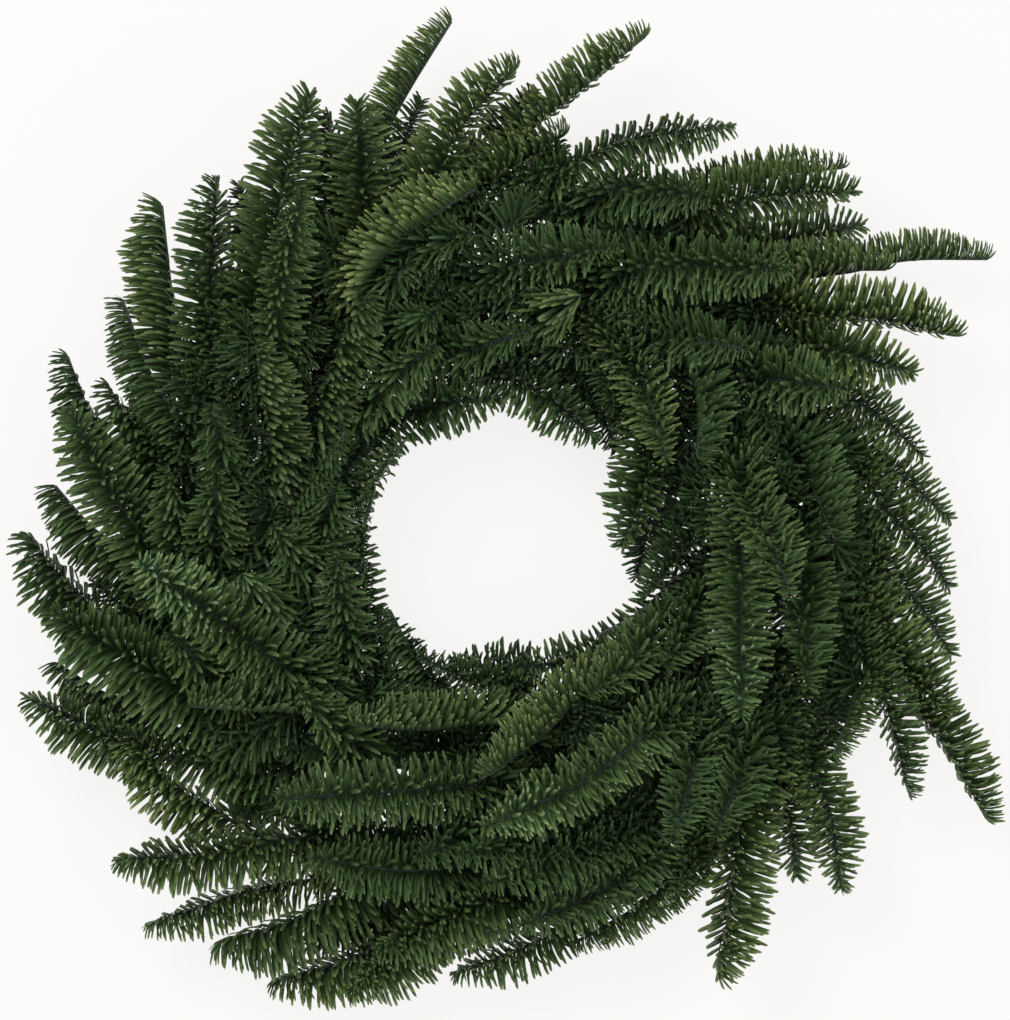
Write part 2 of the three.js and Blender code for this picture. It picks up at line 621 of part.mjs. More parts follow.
const wreath = new THREE.Group();
addMesh(wreath, 'wire_ring', makeRing(), steel);
addMesh(wreath, 'binding_wire', makeBinding(), greenWire);
BOUGHS.forEach(([kind], bough) => {
  const green = new THREE.MeshStandardMaterial({ color: needleGreens[kind], roughness: 0.55 });
  const number = String(bough + 1).padStart(2, '0');
  const shoots = routes.filter((route) => route.bough === bough);
  addMesh(wreath, `fir_bough_${number}`, makeBough(shoots), green);
});

// The origin is under the middle of the wreath's outline.
const centre = new THREE.Box3().setFromObject(wreath).getCenter(new THREE.Vector3());
wreath.position.set(-centre.x, -centre.y, 0);

export default wreath;
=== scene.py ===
"""A fresh noble fir wreath, lying on its back, seen from straight above.

The boughs follow the same table and the same rules as the CAD part: each leaves the binding in a
lane beside the ring, forks, and settles over or under the others. Here their twigs are smooth
and carry every needle.
"""

import json
import math
import random

import bpy
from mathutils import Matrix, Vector

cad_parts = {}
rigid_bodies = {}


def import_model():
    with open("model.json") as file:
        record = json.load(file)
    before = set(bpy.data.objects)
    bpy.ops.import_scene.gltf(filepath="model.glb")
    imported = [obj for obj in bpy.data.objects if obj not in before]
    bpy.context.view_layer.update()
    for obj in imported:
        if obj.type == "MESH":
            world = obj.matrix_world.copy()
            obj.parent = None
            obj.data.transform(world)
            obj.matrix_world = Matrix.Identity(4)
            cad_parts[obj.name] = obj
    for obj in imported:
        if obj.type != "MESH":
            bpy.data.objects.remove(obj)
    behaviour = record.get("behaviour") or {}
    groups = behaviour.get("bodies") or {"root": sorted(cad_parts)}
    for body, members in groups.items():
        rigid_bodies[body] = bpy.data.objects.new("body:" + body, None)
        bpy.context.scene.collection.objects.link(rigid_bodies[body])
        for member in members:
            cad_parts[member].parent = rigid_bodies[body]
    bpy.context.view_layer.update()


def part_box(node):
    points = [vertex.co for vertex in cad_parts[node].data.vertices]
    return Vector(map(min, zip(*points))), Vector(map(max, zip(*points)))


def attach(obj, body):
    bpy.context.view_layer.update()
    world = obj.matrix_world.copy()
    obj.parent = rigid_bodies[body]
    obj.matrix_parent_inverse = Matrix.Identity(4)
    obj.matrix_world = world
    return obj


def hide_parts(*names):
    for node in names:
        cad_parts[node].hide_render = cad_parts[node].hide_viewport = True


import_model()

MM = 0.001
DEGREE = math.pi / 180
TURN = 2 * math.pi

# --- The same sizes as the CAD part, in millimetres ----------------

AIR = 0.3
RING_RADIUS = 150
RING_WIRE = 2.5
RING_SIDES = 6
BINDING_WIRE = 0.6
BINDING_TURNS = 30
BINDING_PITCH = TURN / BINDING_TURNS
STEM = 2
TWIG = 1.45
LANES = 5
LANE_STEP = math.pi / (LANES - 1)
LANE_SIDES = [1, 1, 0, 0, -1]
STEM_ANGLE = 14.5 * DEGREE
PAST_WIRE = 1.5 * DEGREE
LEAVING = 7 * DEGREE
UNDER_OTHERS = 55
UNDER_GAIN = 0.7
TOO_FAR_ON = 2
TURN_OUT = 0.2
FORK_ANGLE = 38 * DEGREE
FORK_REACH = 10
TWIG_ROOM = 5.8
LOWEST_TWIG = 5
SETTLING = 80
END_NEEDLE = 15
RING_HEIGHT = 2 * BINDING_WIRE + AIR + RING_WIRE * math.cos(math.pi / RING_SIDES)
LANE_REACH = (2 * STEM + AIR) / (2 * math.sin(LANE_STEP / 2))
WRAP = LANE_REACH + STEM + AIR + BINDING_WIRE * math.sqrt(2)
CLEAR_OF_BINDING = (WRAP + BINDING_WIRE) / math.cos(LANE_STEP / 2) + AIR
LEFT_BINDING = CLEAR_OF_BINDING + STEM
KIND_LANES = {"outer": [0, 1], "crown": [2, 3, 1], "inner": [4, 3]}
ROOT_RISE = {"outer": 0.72, "crown": 0.66, "inner": 0.72}

# A bough is its kind and then its shoots, each as [tip x, tip y, root x, root y, tip height, bow].
BOUGHS = [
    ["outer", [88, 300, 21, 247, 48, 0], [139, 243, 33, 217, 58, 7]],
    ["outer", [40, 241, -3, 216, 40, 0]],
    ["outer", [208, 219, 117, 204, 45, 3], [212, 204, 117, 194, 58, 3]],
    ["outer", [217, 184, 153, 171, 42, 0], [234, 157, 165, 153, 50, 2]],
    ["outer", [296, 164, 207, 156, 40, 4], [274, 116, 189, 131, 55, 3]],
    ["outer", [248, 94, 189, 111, 48, 0], [254, 42, 207, 81, 50, 3]],
    ["outer", [271, 4, 219, 45, 42, 3], [269, -37, 231, 12, 50, 3]],
    ["outer", [271, -78, 231, -24, 42, 3], [267, -113, 228, -60, 52, 0]],
    ["outer", [244, -162, 213, -66, 54, 4], [293, -178, 240, -96, 42, 4]],
    ["outer", [203, -219, 186, -144, 46, 4], [195, -139, 218, -87, 60, 0]],
    ["outer", [176, -211, 165, -156, 48, 3], [128, -270, 144, -168, 62, 0]],
    ["outer", [100, -231, 117, -183, 45, 3], [38, -251, 111, -201, 48, 4]],
    ["outer", [-33, -269, 33, -240, 36, 3], [-78, -252, -3, -222, 52, 0]],
    ["outer", [-96, -280, -45, -240, 44, 3], [-142, -273, -63, -247, 36, 3]],
    ["outer", [-176, -249, -105, -225, 48, 3], [-219, -239, -153, -218, 40, 0]],
    ["outer", [-235, -198, -129, -187, 56, 3], [-230, -125, -189, -162, 45, 3]],
    ["outer", [-290, -100, -231, -129, 42, 0], [-275, -78, -225, -105, 36, 3]],
    ["outer", [-272, -49, -189, -99, 54, 0], [-290, -1, -255, -42, 40, 2]],
    ["outer", [-275, 30, -237, -9, 38, 2], [-262, 73, -213, -12, 55, 3]],
    ["outer", [-266, 109, -246, 63, 38, 2], [-242, 91, -213, 48, 46, 2]],
    ["outer", [-232, 143, -198, 66, 52, 3], [-207, 200, -200, 126, 48, 0]],
    ["outer", [-173, 212, -180, 126, 52, 0], [-116, 264, -142, 162, 60, 3]],
    ["outer", [-107, 253, -102, 192, 40, 0], [-89, 259, -83, 171, 52, 0]],
    ["outer", [-30, 311, -81, 222, 40, 2], [9, 281, -44, 215, 55, 4]],
    ["inner", [70, -12, 87, 54, 56, 3], [81, -45, 117, 12, 50, 3]],
    ["inner", [52, -66, 96, -36, 56, 3], [2, -83, 63, -72, 50, 3]],
    ["inner", [-56, -75, 9, -96, 56, 3], [-72, -44, -39, -96, 50, 3]],
    ["inner", [-86, 6, -78, -72, 56, 3], [-77, 31, -93, -30, 62, 0]],
    ["inner", [-58, 56, -93, 12, 64, 0], [0, 81, -72, 63, 50, 5]],
    ["inner", [57, 54, -6, 96, 56, 4], [26, 89, -3, 114, 50, 0]],
    ["inner", [-92, 63, -132, 0, 86, 0]],
    ["crown", [70, 169, -3, 157, 84, 0], [46, 140, 33, 132, 100, 0]],
    ["crown", [170, 155, 81, 157, 92, 2], [124, 198, 63, 204, 78, 2]],
    ["crown", [98, 39, 69, 111, 82, 4], [115, 39, 108, 99, 90, 5]],
    ["crown", [148, 107, 87, 117, 88, 2], [208, 83, 147, 93, 78, 0]],
    ["crown", [170, -42, 144, 24, 100, 3], [198, -9, 174, 54, 80, 0]],
    ["crown", [140, -113, 141, 18, 98, 0], [180, -98, 177, -24, 85, 0]],
    ["crown", [47, -101, 87, -66, 85, 2], [94, -85, 117, -42, 75, 0]],
    ["crown", [124, -185, 144, -138, 85, 0], [99, -189, 114, -126, 88, 2]],
    ["crown", [-14, -177, 87, -120, 100, 6], [-13, -148, 45, -99, 95, 3]],
    ["crown", [6, -237, 69, -210, 70, 2], [-15, -211, 51, -192, 80, 0]],
    ["crown", [-30, -192, 33, -183, 84, 0], [-55, -196, -9, -171, 78, 2]],
    ["crown", [-136, -159, -15, -153, 95, 0], [-117, -195, -39, -204, 72, 3]],
    ["crown", [-95, -115, -15, -115, 100, 3], [-80, -95, -51, -114, 80, 0]],
    ["crown", [-191, -104, -126, -109, 88, 0], [-124, -93, -90, -129, 95, 0]],
    ["crown", [-218, -17, -132, -81, 105, 0], [-202, -59, -162, -96, 82, 2]],
    ["crown", [-102, -12, -93, -72, 80, 0], [-100, 31, -111, -18, 80, 2]],
    ["crown", [-157, -24, -146, -42, 100, 0], [-140, 4, -116, -24, 88, 0]],
    ["crown", [-201, 40, -194, -18, 72, 0], [-172, 37, -174, -15, 80, 0]],
    ["crown", [-148, 114, -138, 48, 92, 0], [-176, 77, -166, 33, 86, 0]],
    ["crown", [-120, 204, -138, 111, 92, 3], [-80, 144, -112, 63, 84, 3]],
    ["crown", [-38, 112, -81, 78, 85, 2], [-36, 132, -69, 120, 78, 0]],
    ["crown", [-14, 205, -72, 165, 98, 3], [-16, 177, -48, 171, 85, 0]],
    ["crown", [18, 120, -21, 108, 80, 0]],
]

# --- The look of the foliage ---------------------------------------

SEED = 7
SEED_STEP = 10  # between the needles of one bough and the next
HOLE_CENTRE = (-2, -8)  # mm from the ring's middle
HOLE_HALF = (50, 53)  # mm to either side and up and down, within which no needle ends
CURVE_STEP = 4  # mm between the points of a twig's smooth curve
NEEDLED_FROM = 4  # mm past the binding, where the first needles stand
COVERED_SHARE = 0.6  # share of the needles that a shoot has where others cover it
COVERED_UNTIL = 30  # mm before its root shows, where the others end
TIP_RADIUS = 1  # mm, of a twig's tip
TIP_NEEDLE = 5  # mm that the last needles reach past a twig's tip
NEEDLE_BENDS = [38, 43, 48, 53, 58]  # degrees between a needle's root and its tip

# Colour of the shoots, from 0, dark and bluish, to 1, light and yellowish. Under a tone of 0.35 the
# needles are also painted darker, as shade.
KIND_TONES = {"outer": 0.5, "crown": 0.42, "inner": 0.36}
SHOOT_TONES = {
    1: (0.85, 0.5), 2: (0.7,), 3: (0.75, 0.65), 4: (0.5, 0.7), 5: (0.85, 0.9), 6: (0.8, 0.6),
    7: (0.65, 0.5), 8: (0.5, 0.55), 9: (0.5, 0.65), 10: (0.7, 0.55), 11: (0.5, 0.7),
    12: (0.3, 0.6), 14: (0.6, 0.6), 15: (0.6, 0.6), 16: (0.6, 0.9), 18: (0.5, 0.6),
    19: (0.4, 0.5), 20: (0.35, 0.4), 21: (0.45, 0.65), 22: (0.6, 0.6), 23: (0.35, 0.5),
    24: (0.8, 0.8), 34: (0.6, 0.4), 36: (0.52, 0.4), 40: (0.5, 0.65), 42: (0.5, 0.3),
    44: (0.65, 0.4), 45: (0.4, 0.62), 46: (0.45, 0.65), 50: (0.5, 0.4), 53: (0.8, 0.4),
}
TONE_SPREAD = 0.07

# The needles of a shoot sweep to one side, which is turned this many degrees to the shoot's left
# from straight up: outward at the wreath's edge, up on its face and towards the hole round it.
KIND_ROLLS = {"outer": 68, "crown": 0, "inner": -50}
SHOOT_ROLLS = {
    1: (38, -20), 2: (30,), 3: (30, 0), 4: (0, 40), 5: (42, 32), 6: (5, 0), 7: (10, 10),
    8: (0, 30), 9: (25, 40), 10: (0, 40), 11: (20, 12), 12: (0, 40), 13: (5, 20), 14: (20, 20),
    15: (35, 30), 16: (22, 30), 17: (22, 40), 18: (10, 30), 19: (55, 10), 20: (38, 25),
    22: (15, 12), 23: (30, 5), 24: (48, 28), 25: (-25, -30), 26: (25, 10), 27: (-20, 40),
    28: (20, 20), 29: (20, -10), 30: (-15, 0), 31: (-35,), 34: (0, 45), 36: (0, 35),
    40: (0, -50), 44: (-45, -30), 45: (-45, 0), 47: (0, 0), 50: (-35, 0), 51: (0, -40),
    53: (40, 0),
}
ROLL_SPREAD = 6
KIND_DEPTHS = {"outer": (0.6, 0.8), "crown": (0.35, 0.7), "inner": (0.6, 0.8)}  # over the width
PARTED = 0.5  # how strongly the needles part on shoots with no roll, where 1 is not at all
NARROWED = 0.35  # share of its width that a brush with a roll of 90 lacks
SWEEP_UP, SWEEP_ASIDE = 0.28, 0.74  # how strongly they sweep on shoots with no roll and with 90

# Size of the needles of a shoot, where it isn't 1: they are short next to the hole.
SHOOT_SIZES = {
    1: (0.92, 0.95), 3: (0.82, 1), 4: (1.1, 1), 5: (0.75, 1.05), 6: (1, 0.7), 7: (0.75, 0.9),
    8: (0.8, 1.08), 9: (0.7, 0.97), 10: (0.8, 0.75), 11: (1, 1.15), 12: (0.8, 0.7),
    13: (0.95, 1.08), 14: (1.2, 1.22), 15: (1.35, 0.9), 16: (0.95, 1.12), 17: (1.08, 0.92),
    18: (1.38, 1.32), 19: (1.12, 1.12), 20: (0.97, 1), 21: (0.9, 1.15), 22: (1.06, 1.18),
    23: (1.1, 1.15), 24: (0.72, 1.05), 25: (1.2, 0.85), 26: (0.55, 0.75), 27: (0.75, 0.8),
    28: (0.7, 0.6), 29: (0.7, 1.05), 30: (1.02, 0.8), 31: (0.5,), 47: (0.8, 1),
}
SIZE_SPREAD = 0.06

# Fillers, short side twigs that close the wreath between its shoots. No filler ends further out
# than FILLED_TO, and past FILLED_LOWER they lie lower by the distance gone.
FILLER_PLACES = [-28, 2, 30, 58, 86]  # mm along the shoot, back from where its root shows
FILLER_STRAY = 10  # mm by which these places vary
FILLER_LENGTH = 58  # mm
FILLER_LENGTHS = (0.7, 1.15)  # the shares of it that they have
FILLER_TURN, FILLER_RISE, FILLER_SWAY = 42, 4, 8  # degrees aside, up, and by which both vary
FILLER_BEND = 0.4  # how strongly their outer half turns to run along the shoot
FILLER_RADIUS, FILLER_TAPER = 1, 0.3  # mm at the root, and mm that it loses to the tip
FILLED_OVER, FILLED_UNDER = 12, 60  # mm, the heights that they keep between
FILLED_LOWER, FILLED_TO = 185, 236  # mm from the ring's middle
HOLE_REACH = (94, 88)  # mm from the hole's middle across and along, outside which they end
NEAR_HOLE = 1.22  # times that reach, within which their needles are small
FILLER_SIZE, SMALL_FILLER_SIZE = 0.9, 0.55  # size of their needles, and near the hole
FILLER_SHARE = 0.65  # share of the needles that they have
FILLER_ROLL = 20 * DEGREE
FILLER_DEPTH = 0.6  # depth of their brush over its width
# Their tone is lowered under their shoot's so that the needle material paints them darker, as shade
# deep in the wreath.
FILLER_SHADE_TONE = 0.3  # their tone over their shoot's

# Twigs that close the gaps where neighbours part, by the number of their bough, each as
# [tip x, tip y, root x, root y, tip height] in mm.
GAP_TWIGS = {
    1: [[16, 264, -6, 232, 35]],
    2: [[33, 233, 28, 206, 35]],
    10: [[183, -150, 205, -80, 35]],
    13: [[-90, -243, -30, -225, 30]],
    14: [[-118, -250, -66, -234, 30]],
    16: [[-159, -171, -105, -156, 30]],
    18: [[-246, -33, -219, -60, 30]],
    22: [[-160, 206, -150, 165, 35]],
    24: [[-51, 258, -69, 218, 35]],
    25: [[80, -27, 100, 60, 38]],
    27: [[-57, -70, -40, -108, 36], [-77, -49, -63, -80, 42], [-30, -80, 21, -88, 44]],
    29: [[-84, 54, -117, 18, 50]],
    30: [[67, 50, 42, 107, 42], [-30, 86, -60, 76, 40], [46, 94, 12, 118, 44],
         [59, 68, 20, 104, 40]],
    44: [[-72, -127, -21, -132, 45]],
}
GAP_RISE = 0.7  # height of their roots over that of their tips

# The photograph is 1010 by 1020 pixels, and a pixel is 0.6 mm at the wreath's middle height.
IMAGE_WIDTH = 1010
PIXEL = 0.6 * MM
IMAGE_MIDDLE = (0, 12)  # mm from the middle of the ring
CAMERA_HEIGHT = 3.2  # m over the table
VIEW_HEIGHT = 0.055  # m, the height at which the scale holds


# --- Routes of the twigs, as in the CAD part -----------------------

def around(angle, radius, height):
    """A point over the table, at an angle clockwise from the wreath's top."""
    return Vector((radius * math.sin(angle), radius * math.cos(angle), height))


def beside_ring(angle, direction, reach):
    """A point beside the ring's wire, in a direction from outward at 0 over up to inward."""
    radius = RING_RADIUS + reach * math.cos(direction)
    return around(angle, radius, RING_HEIGHT + reach * math.sin(direction))


def leaving_angle(lane, turn):
    return BINDING_PITCH * (turn + (lane + 1.5) / (LANES + 1)) + PAST_WIRE


def take_seat(kind, wanted, taken):
    """The free lane and turn of wire nearest to where a bough wants to leave the binding."""
    best = None
    for lane in KIND_LANES[kind]:
        for turn in range(BINDING_TURNS):
            if any((lane, (turn + step) % BINDING_TURNS) in taken for step in (-1, 0, 1)):
                continue
            turned = leaving_angle(lane, turn) - wanted
            past = math.atan2(math.sin(turned), math.cos(turned))
            cost = past * TOO_FAR_ON if past > 0 else -past
            if best is None or cost < best[0] - 1e-6:
                best = (cost, lane, turn)
    taken.add(best[1:])
    return best[1:]


def wanted_angle(root):
    """Where a bough would best leave the binding for its shoot to show from its root on."""
    radius = math.hypot(root.x, root.y)
    lead = UNDER_OTHERS + UNDER_GAIN * abs(radius - RING_RADIUS)
    return math.atan2(root.x, root.y) - 2 * lead / (radius + RING_RADIUS)


def ease_between(start, start_way, end, end_way):
    """Two points of the smooth curve from start to end."""
    reach = (end - start).length
    points = []
    for u in (1 / 3, 2 / 3):
        point = start * (2 * u**3 - 3 * u**2 + 1) + end * (3 * u**2 - 2 * u**3)
        point += start_way * reach * (u**3 - 2 * u**2 + u) + end_way * reach * (u**3 - u**2)
        points.append(point)
    return points


def lay_routes():
    """The route of each shoot, with how many of its first points are fixed by the binding."""
    routes = []
    taken = set()
    for bough, (kind, *shoots) in enumerate(BOUGHS):
        roots = [Vector((x, y, 0)) for _, _, x, y, _, _ in shoots]
        lane, turn = take_seat(kind, wanted_angle(roots[0]), taken)
        leaves = leaving_angle(lane, turn)
        direction = lane * LANE_STEP
        stem = [beside_ring(leaves - k * STEM_ANGLE, direction, LANE_REACH) for k in (1, 0.5, 0)]
        out = beside_ring(leaves + LEAVING, direction, LEFT_BINDING + AIR)
        leaving = (out - stem[2]).normalized()
        first = Vector((roots[0].x, roots[0].y, shoots[0][4] * ROOT_RISE[kind]))
        leaving = leaving.lerp((first - out).normalized(), TURN_OUT).normalized()
        aside = Vector((-leaving.y, leaving.x, 0)).normalized()
        across = aside.dot(roots[1] - roots[0]) if len(roots) > 1 else 1
        side = LANE_SIDES[lane] or math.copysign(1, across)
        for k, (tip_x, tip_y, root_x, root_y, height, bow) in enumerate(shoots):
            tip = Vector((tip_x, tip_y, height))
            shows = Vector((root_x, root_y, height * ROOT_RISE[kind]))
            way = (tip - shows).normalized()
            left = Vector((-way.y, way.x, 0)).normalized()
            end = tip - way * END_NEEDLE
            middle = shows.lerp(end, 0.5) + left * bow
            start = leaving * math.cos(k * FORK_ANGLE) + aside * side * math.sin(k * FORK_ANGLE)
            forked = out + start * k * FORK_REACH
            fixed = [out, forked] if k else [*stem, out]
            points = [*fixed, *ease_between(forked, start, shows, way), shows, middle, end]
            routes.append({
                "bough": bough, "shoot": k, "fixed": len(fixed), "way": way,
                "points": [point.copy() for point in points],
            })
    return routes


def nearest_along(p, start, dx, dy):
    """How far along a stretch a point is nearest to it, and how near, seen from above."""
    k = ((p.x - start.x) * dx + (p.y - start.y) * dy) / (dx * dx + dy * dy)
    k = min(1, max(0, k))
    return k, math.hypot(p.x - start.x - k * dx, p.y - start.y - k * dy)


def meetings(a0, a1, b0, b1):
    """Where two stretches come close, seen from above: how far along each, and how close."""
    for axis in (0, 1):
        a, b = (a0[axis], a1[axis]), (b0[axis], b1[axis])
        if max(a) + TWIG_ROOM < min(b) or max(b) + TWIG_ROOM < min(a):
            return []
    ax, ay = a1.x - a0.x, a1.y - a0.y
    bx, by = b1.x - b0.x, b1.y - b0.y
    cross = ax * by - ay * bx
    found = []
    if abs(cross) > 1e-9:
        s = ((b0.x - a0.x) * by - (b0.y - a0.y) * bx) / cross
        t = ((b0.x - a0.x) * ay - (b0.y - a0.y) * ax) / cross
        if 0 <= s <= 1 and 0 <= t <= 1:
            found.append((s, t, 0))
    for s, p in ((0, a0), (1, a1)):
        t, distance = nearest_along(p, b0, bx, by)
        found.append((s, t, distance))
    for t, p in ((0, b0), (1, b1)):
        s, distance = nearest_along(p, a0, ax, ay)
        found.append((s, t, distance))
    return [meeting for meeting in found if meeting[2] < TWIG_ROOM]


def settle(routes):
    """Raises and lowers the free points until twigs that cross have room between them."""

    def passes_over(a, m, s, b, n, t):
        return a[m].z + s * (a[m + 1].z - a[m].z) - b[n].z - t * (b[n + 1].z - b[n].z)

    contacts = []
    for i, first in enumerate(routes):
        for second in routes[i + 1:]:
            a, b = first["points"], second["points"]
            forked = first["bough"] == second["bough"]
            shared = []
            for m in range(first["fixed"] - 1 if forked else 0, len(a) - 1):
                for n in range(second["fixed"] - 1 if forked else 0, len(b) - 1):
                    for s, t, distance in meetings(a[m], a[m + 1], b[n], b[n + 1]):
                        shared.append((m, s, n, t, math.sqrt(TWIG_ROOM**2 - distance**2)))
            over = sum(passes_over(a, m, s, b, n, t) for m, s, n, t, _ in shared)
            sign = 1 if over >= 0 else -1
            contacts += [(first, second, sign, *contact) for contact in shared]

    def move(route, index, share, by):
        if index >= route["fixed"]:
            route["points"][index].z += share * by
        if index + 1 >= route["fixed"]:
            route["points"][index + 1].z += (1 - share) * by

    for _ in range(SETTLING):
        for first, second, sign, m, s, n, t, room in contacts:
            over = passes_over(first["points"], m, s, second["points"], n, t)
            short = room - sign * over
            if short > 0:
                move(first, m, 1 - s, sign * short / 2)
                move(second, n, 1 - t, -sign * short / 2)
        for route in routes:
            for point in route["points"][route["fixed"]:]:
                point.z = max(point.z, LOWEST_TWIG)


# --- Smooth twigs --------------------------------------------------

def through(before, start, end, after, u):
    """A point of the smooth curve that passes through start and end."""
    return 0.5 * (
        2 * start + (end - before) * u + (2 * before - 5 * start + 4 * end - after) * u**2
        + (3 * start - before - 3 * end + after) * u**3
    )


def smooth_places(points):
    """Points of the smooth curve through a route's, each with how many of those it has passed."""
    samples = []
    for i in range(len(points) - 1):
        start, end = points[i], points[i + 1]
        before = points[i - 1] if i else start * 2 - end
        after = points[i + 2] if i + 2 < len(points) else end * 2 - start
        count = max(2, round((end - start).length / CURVE_STEP))
        samples += [
            (i + k / count, through(before, start, end, after, k / count)) for k in range(count)]
    samples.append((len(points) - 1, points[-1]))
    for _, place in samples:
        place.z = max(place.z, LOWEST_TWIG)
    return samples


def face_of(way, roll):
    """The direction, square to a twig, to which its needles sweep."""
    left = Vector((0, 0, 1)).cross(way).normalized()
    return way.cross(left) * math.cos(roll) + left * math.sin(roll)


def habit(roll, depth, size, tone):
    """How the needles of a twig stand: their side, how strongly they sweep to it, the depth and
    width of the brush, how little they part along its middle, and their size and tone."""
    tilt = abs(math.sin(roll))
    return {"roll": roll, "sweep": SWEEP_UP + (SWEEP_ASIDE - SWEEP_UP) * tilt, "depth": depth,
            "width": 1 - NARROWED * tilt, "parting": PARTED + (1 - PARTED) * tilt,
            "size": size, "tone": tone}


def dressed(places, values, needled, radius):
    """A twig: its places with the values that its needles and bark follow. The share of needles
    and the radius are functions of the mm along it."""
    along = [0]
    for a, b in zip(places, places[1:]):
        along.append(along[-1] + (b - a).length)
    twig = []
    for k, (place, at) in enumerate(zip(places, along)):
        way = (places[min(k + 1, len(places) - 1)] - places[max(k - 1, 0)]).normalized()
        twig.append({
            **values, "place": to_frame(place), "way": way, "face": face_of(way, values["roll"]),
            "needled": needled(at), "radius": radius(at) * MM, "from_tip": (along[-1] - at) * MM,
        })
    return twig


def shoot_twig(route, values):
    """The twig of a shoot, and the number of its first place that shows."""
    *others, end = route["points"]
    samples = smooth_places([*others, end + route["way"] * (END_NEEDLE - TIP_NEEDLE)])
    places = [place for _, place in samples]
    steps = [(b - a).length for a, b in zip(places, places[1:])]
    first_free = next(k for k, (u, _) in enumerate(samples) if u >= route["fixed"] - 1)
    first_shown = next(k for k, (u, _) in enumerate(samples) if u >= len(others) - 2)
    leaves, shows, length = sum(steps[:first_free]), sum(steps[:first_shown]), sum(steps)

    def needled(at):
        if at < leaves + NEEDLED_FROM:
            return 0
        return COVERED_SHARE if at < shows - COVERED_UNTIL else 1

    def radius(at):
        if at < leaves:
            return STEM
        return TWIG + (TIP_RADIUS - TWIG) * (at - leaves) / (length - leaves)

    return dressed(places, values, needled, radius), first_shown


def filler_radius(at):
    return FILLER_RADIUS - FILLER_TAPER * at / FILLER_LENGTH


def filler_twigs(twig, first_shown, tone, rng):
    """The fillers on both sides of a shoot, where it lies between the others."""
    fillers = []
    for back in FILLER_PLACES:
        for side in (-1, 1):
            stray = rng.uniform(-FILLER_STRAY, FILLER_STRAY)
            k = max(0, first_shown - round((back + stray) / CURVE_STEP))
            if k * CURVE_STEP > len(twig) * CURVE_STEP - FILLER_LENGTH:
                continue
            point = twig[k]
            way, start = point["way"], (point["place"] - RING_MIDDLE) / MM
            if point["needled"] == 0 or start.z > FILLED_UNDER:
                continue
            left = Vector((0, 0, 1)).cross(way).normalized()
            turn = side * (FILLER_TURN + rng.uniform(-FILLER_SWAY, FILLER_SWAY)) * DEGREE
            rise = (FILLER_RISE + rng.uniform(-FILLER_SWAY, FILLER_SWAY)) * DEGREE
            out = (way * math.cos(turn) + left * math.sin(turn)) * math.cos(rise)
            out += Vector((0, 0, math.sin(rise)))
            half = FILLER_LENGTH * rng.uniform(*FILLER_LENGTHS) * 0.5
            middle = start + out * half
            end = middle + (out + way * FILLER_BEND).normalized() * half
            from_hole = math.hypot(
                *((end[axis] - HOLE_CENTRE[axis]) / HOLE_REACH[axis] for axis in (0, 1)))
            from_ring = math.hypot(end.x, end.y)
            if end.z < FILLED_OVER or from_ring > FILLED_TO or from_hole < 1:
                continue
            for place in (middle, end):
                past = max(0, math.hypot(place.x, place.y) - FILLED_LOWER)
                place.z = min(place.z, FILLED_UNDER - past)
            places = [place for _, place in smooth_places([start, middle, end])]
            size = FILLER_SIZE if from_hole > NEAR_HOLE else SMALL_FILLER_SIZE
            values = habit(side * FILLER_ROLL, FILLER_DEPTH, size, tone)
            fillers.append(dressed(places, values, lambda at: FILLER_SHARE, filler_radius))
    return fillers


def gap_twig(row, tone):
    tip_x, tip_y, root_x, root_y, height = row
    tip, root = Vector((tip_x, tip_y, height)), Vector((root_x, root_y, height * GAP_RISE))
    places = [place for _, place in smooth_places([root, root.lerp(tip, 0.5), tip])]
    return dressed(places, habit(0, FILLER_DEPTH, FILLER_SIZE, tone), lambda at: 1, filler_radius)


def to_frame(place):
    """A point of the wreath, in mm from the ring's middle, as a point of the CAD frame."""
    return place * MM + RING_MIDDLE


def placed(name, data):
    """A new object in the scene."""
    made = bpy.data.objects.new(name, data)
    bpy.context.scene.collection.objects.link(made)
    return made


def twig_lines(name, twigs):
    """The twigs of a bough as one object of plain lines, with their values as attributes."""
    mesh = bpy.data.meshes.new(name)
    places, edges = [], []
    for twig in twigs:
        first = len(places)
        places += [point["place"] for point in twig]
        edges += [(first + k, first + k + 1) for k in range(len(twig) - 1)]
    mesh.from_pydata(places, edges, [])
    for value in (
            "needled", "radius", "from_tip", "sweep", "depth", "width", "parting", "size", "tone"):
        layer = mesh.attributes.new(value, "FLOAT", "POINT")
        layer.data.foreach_set("value", [point[value] for twig in twigs for point in twig])
    for value in ("way", "face"):
        layer = mesh.attributes.new(value, "FLOAT_VECTOR", "POINT")
        layer.data.foreach_set(
            "vector", [part for twig in twigs for point in twig for part in point[value]])
    return placed(name, mesh)


# --- One needle ----------------------------------------------------

# Sections of a three-sided needle: share of its length, and its radius over its length.
NEEDLE_SECTIONS = [(0, 0.022), (0.15, 0.042), (0.45, 0.055), (0.8, 0.055), (0.95, 0.04)]
FLATTENED = 0.65  # thickness of a needle over that of one as thick as it is wide
THIN_NEEDLE = 0.5  # thickness of the needles on a twig's far side, over that of the others
ROOT_BEND = 0.6  # share of a needle's bend that lies in its first third
BEND_STEPS = 24  # in which the bend is followed


